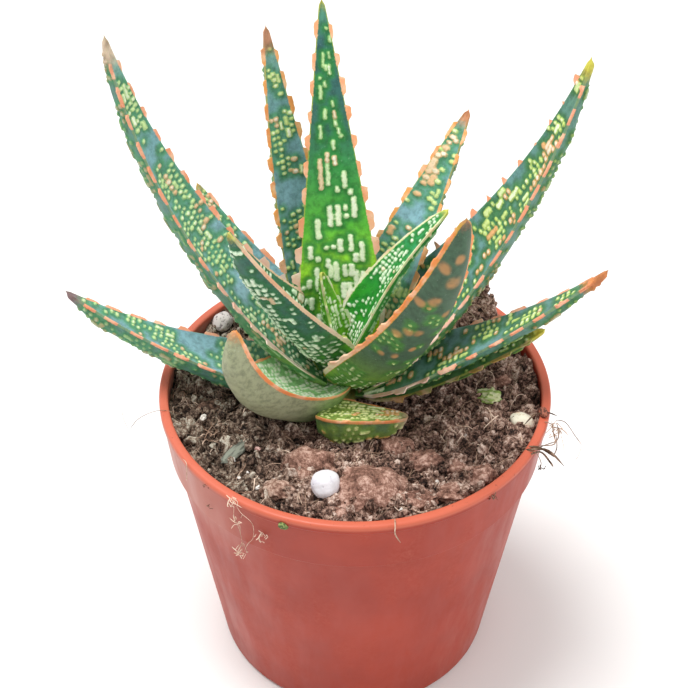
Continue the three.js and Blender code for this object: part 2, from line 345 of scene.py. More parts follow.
# Colours of a leaf: the open ground from foot to tip, the green round the dashes, the dashes at
# the foot and further out, the warm ones, the margin's plates likewise, the thin line inside the
# margin with its width in mm, and the underside at the foot and further out.
leafColours = {
    "heart": dict(ground=[(0, "#b4dc3c"), (0.4, "#86c936"), (1, "#4f9a3a")], green="#5fae24",
        dashFoot="#f8fbe8", dash="#edf6d8", warm="#e6f2c8", rimFoot="#f2f5dc", rim="#d8e6ba",
        line=("#cfe08a", 0.2), underFoot="#a8d83c", under="#6fae42"),
    "tall": dict(ground=[(0, "#d8ff40"), (0.24, "#b4f23c"), (0.38, "#62c23e"), (0.56, "#3c9450"),
        (0.66, "#387060"), (0.88, "#386a6c"), (1, "#5aa07c")], green="#2f8a3c", dashFoot="#f8fbe8",
        dash="#dff0c0", warm="#e6bc92", rimFoot="#fbe6da", rim="#f2ab7c", line=("#a4b044", 0.2),
        dashTip="#b0d88c", underFoot="#8ac850", under="#4a8a5c"),
    "young": dict(ground=[(0, "#8fd024"), (0.2, "#35a31e"), (0.5, "#2c9a44"), (0.8, "#3aa070"),
        (1, "#5cae6e")], green="#1f852e", dashFoot="#f5fae8", dash="#dcf2cf", warm="#e0c8a0",
        rimFoot="#f4f1e0", rim="#dfe6bc", line=("#cfe08a", 0.25), underFoot="#6fc03c", under="#3f8a4c"),
    "shade": dict(ground=[(0, "#a8dc30"), (0.16, "#4fae20"), (0.36, "#3f8048"), (0.7, "#4f8480"),
        (0.9, "#5a9090"), (1, "#7da05c")], green="#2f7440", dashFoot="#f6fce8", dash="#dcf4d4",
        warm="#d6ab86", rimFoot="#faeade", rim="#ecc4a4", line=("#bcb488", 0.06), underFoot="#74c030",
        under="#3f7060", dull=0.0),
    "blue": dict(ground=[(0, "#96c850"), (0.1, "#8cbaa0"), (0.3, "#96c0ca"), (0.6, "#88b6c0"),
        (0.85, "#74a8a6"), (1, "#8cbaa0")], green="#4c9460", dashFoot="#e6f2cc", dash="#c2de94",
        warm="#e2ab80", rimFoot="#fbe4da", rim="#f09f7c", line=("#86a070", 0.06), underFoot="#8cb060",
        under="#5f8f80"),
    "deep": dict(ground=[(0, "#8ab84c"), (0.2, "#4f7f4f"), (0.5, "#4f7868"), (1, "#7a8f70")],
        green="#4a8a3c", dashFoot="#ecf6cc", dash="#d0e28c", warm="#cf8a52", rimFoot="#f9e2ca",
        rim="#f0924a", line=("#d9a83c", 0.35), underFoot="#7cac3c", under="#48664e", dull=0.3),
    "grey": dict(ground=[(0, "#c0ec94"), (0.3, "#b4e4ac"), (1, "#bce0c8")], green="#a4dc94",
        dashFoot="#f6fce8", dash="#f6fce6", warm="#dba077", rimFoot="#f2a870", rim="#f09058",
        line=("#e0a050", 0.22), underFoot="#8fae6a", under="#a4a886"),
    "moss": dict(ground=[(0, "#5f8f3f"), (0.3, "#56804f"), (0.8, "#5f8a5a"), (1, "#b4c04a")],
        green="#3f6f30", dashFoot="#b4cf6a", dash="#a3bd5f", warm="#b5834f", rimFoot="#8a8a50",
        rim="#97904a", line=("#7f8a3e", 0.3), underFoot="#4f6c3c", under="#4f6c44"),
    "stub": dict(ground=[(0, "#a0bc4c"), (0.5, "#b4c070"), (1, "#d0c490")], green="#7a9a44",
        dashFoot="#e2ee9c", dash="#e0e49a", warm="#ee9c58", rimFoot="#e59a5e", rim="#ee8f58",
        line=("#e6a060", 0.22), underFoot="#5a7a4a", under="#648458", dull=0.2),
}
leafColours["amber"] = {**leafColours["blue"], "rim": "#f4a860", "line": ("#a8a850", 0.14),
                        "dash": "#cce088"}
leafColours["sun"] = {**leafColours["blue"], "green": "#3f7c3c", "dash": "#c4da74", "warm": "#e69a62",
                      "ground": [(0, "#8ab84c"), (0.1, "#6a9c70"), (0.3, "#74a0a0"), (0.6, "#6a9896"),
                                 (0.85, "#5a8a7c"), (1, "#6f9a70")]}
dryStops = [(0, "#d9cf4a"), (0.35, "#e58a4c"), (0.6, "#c08a70"), (0.8, "#7c5e68"), (1, "#dcc3aa")]

# The tall leaf's dashes, in mm: across, from and to along the leaf, and 1 where it is reddish.
tallMarks = [
    (-0.6, 86, 87), (-1.4, 83, 85), (0.6, 77, 81), (-0.9, 79, 81), (-0.8, 75, 78), (0, 76, 78),
    (1.6, 74, 75), (0.5, 72, 74), (1.8, 69, 73), (-1.1, 67, 69), (-1.4, 64, 66.5, 1), (1, 64, 67),
    (2.4, 59, 63), (-1.5, 62, 64), (-2.2, 60, 62), (-2.7, 59, 60), (-0.7, 56, 59), (1.1, 53, 56, 1),
    (-0.8, 52, 55, 1), (1.2, 47, 53), (3.1, 46, 54.5, 1), (-1, 45, 47), (-3, 46, 51), (-4.4, 44, 46),
    (-5.1, 38, 44), (1.2, 36, 42), (-0.9, 36, 42), (-2.8, 40, 42), (-3, 38, 39), (4.6, 33, 39),
    (-3.8, 29, 34), (-1, 29, 33), (7.1, 28, 32), (5.2, 27, 29), (2.7, 30, 31), (0.8, 30, 31),
    (-6.6, 26, 32), (-4.9, 26, 29), (2.5, 25, 28), (0.4, 21, 27), (1.9, 22, 26), (-1.9, 22, 26),
    (-3.7, 22, 26), (5.6, 19, 26), (7.9, 20, 23), (9.6, 20, 21), (-4.8, 18, 24), (-6.5, 20, 24),
    (-1.4, 16, 21), (-2.9, 17, 21), (4.2, 17, 21), (7.6, 14, 18), (2.5, 15, 19), (9.2, 16, 18),
    (0.6, 11, 17), (-4.6, 10, 15), (-2.6, 8, 13), (3.4, 9, 14), (5.8, 8, 13), (-6.8, 9, 16),
    (1.8, 5, 10), (-0.8, 6, 11), (-5.4, 4, 8), (6.9, 4, 9), (3.9, 3, 6),
]

# One leaf an entry, innermost first, with its colours and dashes. The sizes are the plan's own, but
# the tips of leaf_inner_left and leaf_stub_front are blunter. dry is how much of the tip is dry, and
# dryTone its colour, from yellow (0) by orange and brown to pale (1). patches are soft smudges on the
# underside: along, across and radius.
leaves = {
    "leaf_heart": dict(heading=150, rise=76, length=22, root=101, foot=1, width=9, depth=2.6, cup=0.55,
        blunt=0.35, teeth=0.4, colours="heart", top="young", under="young", dry=0.03),
    "leaf_inner_right": dict(heading=26, swing=-4, rise=70, lift=-36, length=45, root=101, foot=2,
        width=13.5, depth=3.8, cup=0.47, blunt=0.3, taper=0.92, teeth=0.4, strip=0.25, colours="young",
        top="young", under="young", dry=0.04),
    "leaf_inner_left": dict(heading=208, rise=53, lift=14, length=57, root=98, foot=2, width=22,
        depth=5.4, cup=0.7, blunt=0.8, teeth=0.35, strip=0.28, colours="shade", top="rows", under="rows",
        dry=0.02),
    "leaf_tall": dict(heading=99, rise=72, lift=-5, length=94, root=95, foot=2, width=27, depth=6,
        cup=0.25, blunt=0.1, taper=1.05, colours="tall", top="long", under="long", dry=0.02,
        marks=tallMarks),
    "leaf_front": dict(heading=306, rise=44, lift=33, length=86, root=93, foot=3, width=26, depth=5.6,
        cup=0.18, blunt=0.32, taper=0.88, turn=-10, twist=-10, teeth=0.85, strip=0.45, colours="deep",
        top="beads", under="faint", dry=0.02, dryTone=0.6, patches=[(58.5, -4.8, 1.2), (60.5, -2.1, 1.7),
        (44.5, -6.0, 1.2), (47, -4.4, 1.3), (47.5, -2.2, 1.3), (72, -2.5, 1.4), (68, 0.1, 1.9),
        (75, 0.2, 1.3), (34, -6.8, 0.9), (35, -4.0, 1.0), (39, -0.9, 1.1), (55, 2.4, 1.2)]),
    "leaf_left_short": dict(heading=144, rise=29, lift=22, length=59.5, root=95, foot=3, width=20,
        depth=5.5, cup=0.35, turn=12, colours="blue", top="beads", under="warts", dry=0.03, dryTone=0.2),
    "leaf_back_right": dict(heading=46, swing=2, rise=54, lift=-4, length=73, root=94, foot=3, width=23,
        depth=6, cup=0.3, blunt=0.16, taper=0.94, colours="amber", top="sunned", under="warts", dry=0.06,
        dryTone=0.45),
    "leaf_back_narrow": dict(heading=120, rise=56, lift=22, length=92, root=92, foot=3, width=22, depth=6,
        cup=0.25, colours="amber", top="beads", under="warts", dry=0.07, dryTone=0.55),
    "leaf_right_long": dict(heading=12, swing=4, rise=40, lift=34, length=105, root=91, foot=4, width=34,
        depth=6.9, cup=0.29, taper=1.15, turn=6, twist=-8, spaced=1, colours="sun", top="sunned",
        under="warts", dry=0.05),
    "leaf_left_long": dict(heading=165, swing=-12, rise=38, lift=39, length=108, root=91, foot=4,
        width=27, depth=7.1, cup=0.31, taper=1.12, turn=1, twist=2, colours="blue", top="wide",
        under="warts", dry=0.07, dryTone=1),
    "leaf_low_right": dict(heading=-9, swing=6, rise=23, lift=21, length=74.5, root=90, foot=4, width=25,
        depth=5, cup=0.08, taper=1.09, turn=7, twist=-25, colours="sun", top="sunned", under="warts",
        dry=0.1, dryTone=0.38),
    "leaf_curled_front": dict(heading=219, swing=3, rise=-1, lift=97, length=50, root=91, foot=4,
        width=29, depth=8.8, cup=0.46, blunt=0.4, turn=2, twist=5, teeth=0.4, strip=0.3, colours="grey",
        top="dense", under="plain", dry=0.03, dryTone=0.35),
    "leaf_low_left": dict(heading=182, swing=-4, rise=12, lift=26, length=75, root=87.5, foot=4, width=28,
        depth=7.5, cup=0.2, taper=1.07, turn=2, twist=14, colours="blue", top="wide", under="warts",
        dry=0.06, dryTone=0.78),
    "leaf_stub_front": dict(footHeading=-110, heading=-14.5, swing=5, rise=4, lift=3, length=23.2,
        root=92.3, foot=17.6, width=15, depth=8.7, cup=0.12, blunt=0.85, turn=-18, teeth=0.3, strip=0.15,
        colours="stub", top="dense", under="warts", dry=0.08, dryTone=1),
    "leaf_lowest_right": dict(heading=-2, swing=-2, rise=11, lift=21, length=52.5, root=89, foot=4,
        width=23.5, depth=5, cup=0.22, turn=13, twist=4, colours="moss", top="warts", under="warts",
        dry=0.08),
}


def coursePoints(leaf, places):
    # Midline of a blade, and the directions along it, across it and out of its upper face.
    slope = np.radians(leaf["rise"] + leaf.get("lift", 0) * places)
    heading = np.radians(leaf["heading"] + leaf.get("swing", 0) * places)
    along = np.stack([np.cos(slope) * np.cos(heading), np.cos(slope) * np.sin(heading),
                      np.sin(slope)], axis=1)
    strides = (along[1:] + along[:-1]) / 2 * np.diff(places)[:, None] * leaf["length"]
    footAngle = math.radians(leaf.get("footHeading", leaf["heading"]))
    start = [stemAxis["x"] + leaf["foot"] * math.cos(footAngle),
             stemAxis["y"] + leaf["foot"] * math.sin(footAngle), leaf["root"]]
    middle = np.array(start) + np.vstack([np.zeros(3), np.cumsum(strides, axis=0)])
    level = np.stack([-np.sin(heading), np.cos(heading), 0 * heading], axis=1)
    roll = np.radians(leaf.get("turn", 0) + leaf.get("twist", 0) * places)[:, None]
    side = level * np.cos(roll) + np.cross(along, level) * np.sin(roll)
    return middle, along, side, np.cross(along, side)


def widthShare(share, taper, blunt):
    waist = blade["waist"]
    foot = np.maximum(0, (share - waist) / (1 - waist))
    return (blunt * np.sqrt(share) + (1 - blunt) * share ** taper) * (1 - blade["waistLoss"] * foot ** 2)


def depthShare(share):
    foot = np.maximum(0, (share - blade["thinFrom"]) / (1 - blade["thinFrom"]))
    body = blade["tipDepth"] + (1 - blade["tipDepth"]) * share
    return body * np.minimum(1, (share / blade["tipRun"]) ** 0.6) * (1 - blade["thinLoss"] * foot)


def plateHeights(leaf, distances, far, rng):
    # Height of the horny plates on one margin, at each distance from the foot. Each rises slowly
    # from its foot side and ends in a sharp corner; near the foot they run into a pale strip.
    # A far margin has fewer and bigger ones to be seen.
    length = leaf["length"]
    span = (blade["lastPlate"] - blade["firstPlate"]) * length
    count = max(2, round(span / blade["platePitch"]))
    pitch = span / count
    heights = np.zeros_like(distances)
    for index in range(count):
        start = blade["firstPlate"] * length + index * pitch
        low = start + pitch * rng.uniform(*blade["plateStart"])
        high = start + pitch * rng.uniform(*blade["plateEnd"])
        place = index / count
        reach = blade["plateReach"] * (1 - blade["tipFade"] * place) * rng.uniform(*blade["plateSpread"])
        reach *= leaf.get("teeth", 1) * (1 + (blade["footReach"] - 1) * max(0, 1 - place * 3))
        if far:
            low += blade["farStart"] * pitch
            reach *= blade["farReach"]
        rampUp = smoothStep(low, low + rng.uniform(*blade["rampUp"]), distances)
        rampDown = 1 - smoothStep(high - blade["rampDown"], high, distances)
        foot, rise = blade["lean"]
        lean = foot + rise * np.clip((distances - low) / (high - low), 0, 1)
        waves = (distances - low) * rng.uniform(*blade["notchPitch"]) + index
        notch = 1 - blade["notch"] * np.sin(waves) ** 2
        heights = np.maximum(heights, reach * rampUp * rampDown * lean * notch)
    places = distances / length
    strip = blade["stripReach"] * blade["plateReach"] * (1 - smoothStep(*blade["footStrip"], places))
    whole = leaf.get("strip", 0) * (1 - smoothStep(0.9, 1, places))
    strip = np.maximum(strip * leaf.get("teeth", 1), whole)
    return np.maximum(heights, strip * smoothStep(0.02, 0.08, places))


def measuredRuns(marks, look, rng):
    # Runs of beads from a list of places: [across, from, to, radius, warm, paleness].
    runs = []
    for across, low, high, *warm in marks:
        radius = rng.uniform(*look["radius"]) * np.interp(low, [30, 70], [1, 0.66])
        high = max(low, high - 2 * radius)
        runs.append([across, low + radius, high + radius, radius, len(warm), rng.uniform(0.2, 1)])
    return runs


def markRuns(leaf, look, halfWidthAt, rng):
    # The same for columns of beads along the whole blade.
    rules = dashRules
    length = leaf["length"]
    widest = max(halfWidthAt(place * length) for place in np.linspace(0, 1, 21))
    columns = max(2, round(2 * widest * rules["span"] / look["column"]))
    seed = rng.uniform(0, 90)
    runs = []
    for column in range(columns):
        offset = (column - (columns - 1) / 2) * look["column"]
        shift = rng.uniform(0, look["bead"])
        current = None
        for bead in range(int(length * rules["span"] / look["bead"])):
            v = shift + (bead + 0.5) * look["bead"]
            halfWidth = halfWidthAt(v)
            u = offset * (halfWidth / widest) ** rules["squeeze"]
            along = (v + look["skew"] * abs(u)) / look["band"] + seed
            cluster = look["bandWeight"] * noise.noise(Vector((along, u / rules["clusterWidth"], seed)))
            own = look["runWeight"] * noise.noise(Vector((column * 3.7, v / look["run"], seed + 5)))
            fill = np.interp(v / length, rules["fillPlaces"], look["fill"])
            inside = abs(u) < rules["clearShare"] * halfWidth - rules["clear"]
            if not inside or cluster + own + fill <= rules["stands"]:
                current = None
                continue
            if current and rng.random() < look["join"]:
                current[2] = v
                continue
            spot = Vector((u / rules["warmWidth"] + seed, v / rules["warmLength"], seed + 9))
            reddish = noise.noise(spot) * rules["warmSpread"] + rng.uniform(-0.2, 0.2)
            warm = float(reddish > rules["warmFrom"] - look["warm"] * rules["warmWeight"])
            sway = rng.uniform(-rules["sway"], rules["sway"]) * look["column"]
            radius = rng.uniform(*look["radius"]) * (1 + rules["warmGrowth"] * warm)
            current = [offset + sway, v, v, radius, warm, rng.uniform(0, 1)]
            runs.append(current)
    return runs, widest


def dashField(leaf, style, distances, across, halfWidths, rng):
    # How deep each point lies inside its nearest dash, in mm, and how warm and pale that dash is.
    rules = dashRules
    look = {**commonDashes, **dashStyles[style]}
    runs, widest = markRuns(leaf, look, lambda v: float(np.interp(v, distances, halfWidths)), rng)
    squeeze = (halfWidths / widest) ** rules["squeeze"]
    if "marks" in leaf:  # the dashes stand at places of their own
        runs = measuredRuns(leaf["marks"], look, rng)
        squeeze = np.ones_like(halfWidths)
    depth = np.full(across.shape, rules["outside"])
    warm = np.zeros(across.shape)
    pale = np.zeros(across.shape)
    oval = rules["oval"]
    for offset, low, high, radius, isWarm, paleness in runs:
        window = slice(*np.searchsorted(distances, [low - rules["window"], high + rules["window"]]))
        v = distances[window, None]
        beat = (v - low) * 2 * math.pi / look["bead"]
        sway = rules["wobble"] * np.sin(beat * 0.37 + offset)
        u = across[window] - offset * squeeze[window, None] - sway
        girth = radius * (1 + 0.07 * np.cos(beat) + rules["wobble"] * np.sin(beat * 0.43 + offset * 3))
        ahead = (v - np.clip(v, low, high)) * 1.05
        inside = girth - (np.abs(u / look["broad"]) ** oval + np.abs(ahead) ** oval) ** (1 / oval)
        better = inside > depth[window]
        for field, value in ((depth, inside), (warm, isWarm), (pale, paleness)):
            field[window] = np.where(better, value, field[window])
    return depth, warm, pale


def patchField(patches, distances, across):
    # 1 in the middle of a patch and 0 outside.
    field = np.zeros(across.shape)
    for v, u, radius in patches:
        gap = np.hypot((distances[:, None] - v) * 0.75, across - u) / radius
        field = np.maximum(field, 1 - smoothStep(0.2, 1.45, gap))
    return field


def ringStations():
    # Once round a blade's section: (across, share of the plate, underside or not).
    count = blade["topColumns"]
    top = [(-1 + 2 * index / count, 0, False) for index in range(count + 1)]
    steps = [index / blade["plateColumns"] for index in range(1, blade["plateColumns"] + 1)]
    right = [(1, share, False) for share in steps] + [(1, share, True) for share in reversed(steps)]
    count = blade["underColumns"]
    under = [(1 - 2 * index / count, 0, True) for index in range(count + 1)]
    left = [(-1, share, True) for share in steps] + [(-1, share, False) for share in reversed(steps)]
    return top + right + under + left + top[:1]


def growLeaf(name, leaf, seed):
    rng = random.Random(seed)
    stations = ringStations()
    rows = round(leaf["length"] / blade["step"])
    piece, row, column = newSheet(name.replace("leaf_", "blade_"), rows, len(stations) - 1)

    places = np.linspace(0, 1, rows + 1)
    distances = places * leaf["length"]
    middle, along, side, inward = coursePoints(leaf, places)
    share = 1 - places
    point = smoothStep(0, 0.02, share)
    halfWidths = (blade["tipHalfWidth"] + leaf["width"] / 2
                  * widthShare(share, leaf.get("taper", 1), leaf.get("blunt", 0.12))) * point
    depths = leaf["depth"] * depthShare(share) * point
    cups = leaf["cup"] * halfWidths * (1 - blade["cupFade"] * places)
    edges = blade["edge"] * (0.25 + 0.75 * point)
    spaced = leaf.get("spaced", 0)
    plates = {flank: plateHeights(leaf, distances, spaced == flank, rng) * point for flank in (-1, 1)}

    # The section at each row: a cupped upper face, plates out of its margins, a fleshy underside.
    across, plateShare, isUnder = [np.array(values) for values in zip(*stations)]
    nearPlate = np.where(across[None, :] < 0, plates[-1][:, None], plates[1][:, None])
    plate = nearPlate * plateShare
    lateral = across * halfWidths[:, None]
    tilt = blade["plateLift"] * (cups / np.maximum(halfWidths, 0.01))[:, None]
    upward = cups[:, None] * across ** 2 + plate * tilt
    fullness = 1 - np.abs(across) ** blade["roundness"]
    thin = edges[:, None] * (1 - plateShare * (1 - blade["rimThickness"] / blade["edge"]))
    upward = upward - isUnder * (thin + depths[:, None] * fullness)
    outward = lateral + np.sign(across) * plate

    # Dashes: above by the place across, below by the way round from the middle.
    strides = np.hypot(np.diff(lateral, axis=1), np.diff(upward, axis=1))
    girth = np.cumsum(np.pad(strides, ((0, 0), (1, 0))), axis=1)
    flat = np.flatnonzero(isUnder & (plateShare == 0))
    girth = (girth[:, flat[:1]] + girth[:, flat[-1:]]) / 2 - girth
    above = dashField(leaf, leaf["top"], distances, lateral, halfWidths, rng)
    below = dashField(leaf, leaf["under"], distances, girth, girth[:, flat[0]], rng)
    dashes, warm, pale = [np.where(isUnder, low, high) for low, high in zip(below, above)]
    dashes = np.where(plateShare > 0, dashRules["outside"], dashes)
    smudge = patchField(leaf.get("patches", []), distances, lateral) * isUnder

    # Place in space, with the beads and a slight ripple raised along the normals.
    points = (middle[:, None, :] + side[:, None, :] * outward[:, :, None]
              + inward[:, None, :] * upward[:, :, None])
    sections = points[:, :-1]
    around = np.roll(sections, -1, axis=1) - np.roll(sections, 1, axis=1)
    normals = np.cross(np.gradient(sections, axis=0), around)
    normals = normals / np.maximum(np.linalg.norm(normals, axis=2, keepdims=True), 1e-9)
    heights = np.where(isUnder, blade["underRelief"], blade["relief"])[:-1]
    relief = heights * smoothStep(*blade["reliefRamp"], dashes[:, :-1]) * point[:, None]
    longWave = np.sin(distances / blade["longWave"] + leaf["heading"])[:, None]
    shortWave = np.sin(distances[:, None] / blade["shortWave"] + 5 * across[None, :] + leaf["length"])
    waves = longWave + 0.7 * shortWave
    ripple = blade["ripple"] * waves[:, :-1] * fullness[:-1] * point[:, None]
    sections = sections + normals * (relief + ripple)[:, :, None]
    points = np.concatenate([sections, sections[:, :1]], axis=1)
    writePoints(piece.data, points[row, column] * mm)

    # What the material reads: mm from the margin and from the dry tip, and shares from 0 to 1.
    inland = (1 - np.abs(across)) * halfWidths[:, None] + isUnder * depths[:, None] * fullness
    margin = np.where(plateShare > 0, -plate, inland)
    dryGap = distances[:, None] - (1 - leaf.get("dry", 0.03)) * leaf["length"] + 0 * margin
    everywhere = np.ones_like(margin)
    fields = {"dashDepth": dashes, "dashWarm": warm, "dashPale": pale, "marginGap": margin,
              "plateNear": nearPlate, "leafPlace": places[:, None] * everywhere, "dryGap": dryGap,
              "underside": isUnder * everywhere, "smudge": smudge,
              "dryTone": leaf.get("dryTone", 0) * everywhere}
    for label, values in fields.items():
        writeValues(piece.data, label, values[row, column])

    def closeUp():
        bpy.ops.mesh.remove_doubles(threshold=1e-7)
        bpy.ops.mesh.select_all(action="DESELECT")
        bpy.ops.mesh.select_non_manifold()
        bpy.ops.mesh.edge_face_add()
        bpy.ops.mesh.select_all(action="SELECT")
        bpy.ops.mesh.normals_make_consistent(inside=False)

    inEditMode(piece, closeUp)
    smoothShade(piece, 50)
    return piece


def leafMaterial(name, look):
    paint = Paint(name)
    place = paint.read("leafPlace")
    underside = paint.remap(paint.read("underside"), 0.4, 0.6)
    dash = paint.read("dashDepth")
    cloud = paint.noise(8 * mm, 3)
    patch = paint.noise(3.2 * mm, 2)
    grain = paint.noise(1.6 * mm, 4, 0.7)
    fine = paint.noise(0.6 * mm, 3)
    specks = paint.noise(0.42 * mm, 1)
    wobble = paint.times(paint.plus(fine, -0.5), 0.5)
    edge = paint.plus(dash, wobble)

    below = paint.coat(look["underFoot"], look["under"], place, 0.1, 0.4)
    ground = paint.mix(underside, paint.ramp(place, look["ground"]), below)
    closeBy = paint.plus(dash, paint.times(cloud, 2.2))
    ground = paint.coat(ground, look["green"], closeBy, -0.8, 1.0, 0.0, 0.85)
    shaded = paint.mix(0.4, ground, "#2c4f45", "MULTIPLY")
    ground = paint.coat(shaded, ground, grain, 0.3, 0.62)
    ground = paint.coat(ground, "#dcefe0", specks, 0.66, 0.76, 0.0, 0.12)

    # Dashes: paler at the foot, some warm, with a pale core and a soft edge, and dull underneath.
    dashTone = paint.coat(look["dashFoot"], look["dash"], place, 0.1, 0.34)
    if "dashTip" in look:
        dashTone = paint.coat(dashTone, look["dashTip"], place, 0.42, 0.66)
    dashTone = paint.coat(dashTone, look["warm"], paint.read("dashWarm"), 0.45, 0.55, 0.0, 0.85)
    core = paint.times(paint.remap(edge, 0.2, 0.6), paint.read("dashPale"))
    dashTone = paint.mix(paint.times(core, 0.8), dashTone, "#f6fae8")
    dashTone = paint.coat(dashTone, ground, edge, 0.0, 0.42, 0.6, 0.0)
    dashTone = paint.coat(dashTone, ground, fine, 0.3, 0.55, 0.22, 0.0)
    dulled = paint.mix(paint.times(underside, look.get("dull", 0.5)), dashTone, ground)
    skin = paint.coat(ground, dulled, edge, -0.1, 0.14)
    blur = paint.times(paint.plus(patch, -0.5), 2.2)
    smudge = paint.times(paint.read("smudge"), paint.plus(blur, 1.0))
    skin = paint.coat(skin, "#c8905a", smudge, 0.1, 1.1, 0.0, 0.72)

    # Margin: the plates, and the thin line inside them.
    rimTone = paint.coat(look["rimFoot"], look["rim"], place, 0.16, 0.46)
    rimTone = paint.coat(rimTone, "#fad9bc", patch, 0.42, 0.68, 0.0, 0.55)
    rimTone = paint.coat(rimTone, "#dd7f48", cloud, 0.48, 0.66, 0.0, 0.4)
    rimTone = paint.coat(rimTone, "#b9683c", grain, 0.55, 0.7, 0.0, 0.3)
    rimEdge = paint.plus(paint.read("marginGap"), paint.times(wobble, 1.2))
    lineTone, lineWidth = look["line"]
    skin = paint.coat(skin, lineTone, rimEdge, lineWidth + 0.15, lineWidth - 0.15, 0.0, 0.85)
    plate = paint.remap(paint.read("plateNear"), 0.06, 0.3)
    skin = paint.mix(paint.times(paint.remap(rimEdge, 0.3, 0.05), plate), skin, rimTone)

    dryTone = paint.ramp(paint.read("dryTone"), dryStops)
    dryTone = paint.coat(dryTone, "#8f6a4a", patch, 0.35, 0.65, 0.5, 0.0, "MULTIPLY")
    dry = paint.plus(paint.read("dryGap"), paint.times(wobble, 8.0))
    skin = paint.coat(skin, dryTone, dry, -2.0, 2.4, 0.0, 0.9)

    paint.inputs["Subsurface Weight"].default_value = 0.12
    paint.inputs["Subsurface Radius"].default_value = (0.6, 1.0, 0.4)
    paint.inputs["Subsurface Scale"].default_value = 1.5 * mm
    paint.inputs["Specular IOR Level"].default_value = 0.32
    height = paint.plus(paint.times(grain, 0.5), paint.times(paint.remap(edge, -0.15, 0.5), 0.9))
    return paint.finish(skin, (grain, 0.2, 0.8, 0.42, 0.62), height, 0.5, 0.22 * mm)


youngLeaves = ("leaf_heart", "leaf_inner_right", "leaf_inner_left", "leaf_tall")
leafMaterials = {name: leafMaterial("leaf " + name, look) for name, look in leafColours.items()}
for number, (name, leaf) in enumerate(leaves.items()):
    piece = growLeaf(name, leaf, 40 + number)
    slot = "young_leaf" if name in youngLeaves else "old_leaf"
    finishPiece(piece, leafMaterials[leaf["colours"]], slot, name)
print("leaves grown:", len(leaves))

# Pot: corners of its outline (radius, height, rounding), from the middle of the base out and up
# over the lip, and down the bore.
potShape = {
    "corners": [(0, 0, 0), (40, 0, 1.5), (49.6, 72.8, 0.9), (51, 74, 0.7), (52.12, 87.2, 0.3),
                (52.5, 87.7, 0.4), (52.5, 90, 1.0), (50, 90, 0.8), (50, 74, 1.0), (48.4, 72.8, 1.0),
                (38.8, 1.6, 1.0), (0, 1.6, 0)],
    "turns": 176,
    "arcSteps": 6,
    "drainHoles": 6,
    "drainRing": 27,
    "drainRadius": 3.5,
    "drainSides": 32,
    "drillDepth": 8,
    "tones": [(0, "#992f1c"), (1, "#a93a25")],
    "smear": "#c87a68",
    # dust is the colour of the paler left of the collar: dust and a painted sheen.
    "dust": "#cf9a8c",
    # The next colour is painted light: the rim's top is painted lighter, as if lit from above.
    "lip": "#d06a50",
    "grime": "#6a3a2c",
}


def roundCorners(corners, steps):
    outline = []
    for index, (radius, height, rounding) in enumerate(corners):
        corner = Vector((radius, 0, height))
        if rounding == 0:
            outline.append(corner)
            continue
        before = (Vector((corners[index - 1][0], 0, corners[index - 1][1])) - corner).normalized()
        after = (Vector((corners[index + 1][0], 0, corners[index + 1][1])) - corner).normalized()
        reach = rounding / math.tan(before.angle(after) / 2)
        for step in range(steps + 1):
            share = step / steps
            outline.append(corner + before * reach * (1 - share) ** 2 + after * reach * share ** 2)
    return outline


def makePot(shape):
    outline = roundCorners(shape["corners"], shape["arcSteps"])
    deselectAll()
    bpy.ops.mesh.primitive_plane_add(size=mm)
    piece = bpy.context.active_object
    piece.name = piece.data.name = "nursery_pot"

    def spinOutline():
        bpy.ops.mesh.merge(type="CENTER")
        for start, stop in zip(outline, outline[1:]):
            bpy.ops.mesh.extrude_region_move(TRANSFORM_OT_translate={"value": (stop - start) * mm})
        bpy.ops.mesh.select_all(action="SELECT")
        bpy.ops.mesh.spin(steps=shape["turns"], angle=2 * math.pi, center=(0, 0, 0), axis=(0, 0, 1))
        bpy.ops.mesh.select_all(action="SELECT")
        bpy.ops.mesh.remove_doubles(threshold=1e-6)
        bpy.ops.mesh.normals_make_consistent(inside=False)

    inEditMode(piece, spinOutline)
    drills = []
    for hole in range(shape["drainHoles"]):
        angle = (hole + 0.5) / shape["drainHoles"] * 2 * math.pi
        spot = Vector((math.cos(angle), math.sin(angle), 0)) * shape["drainRing"] * mm
        deselectAll()
        bpy.ops.mesh.primitive_cylinder_add(vertices=shape["drainSides"], location=spot,
                                            radius=shape["drainRadius"] * mm,
                                            depth=shape["drillDepth"] * mm)
        drills.append(bpy.context.active_object)
    cutAway(piece, joinPieces(drills, "drill"))
    smoothShade(piece, 35)
    return piece


def cutAway(piece, tool):
    pickOnly(piece)
    bpy.ops.object.modifier_add(type="BOOLEAN")
    cut = piece.modifiers[-1]
    cut.operation = "DIFFERENCE"
    cut.solver = "EXACT"
    cut.object = tool
    bpy.ops.object.modifier_apply(modifier=cut.name)
    pickOnly(tool)
    bpy.ops.object.delete()


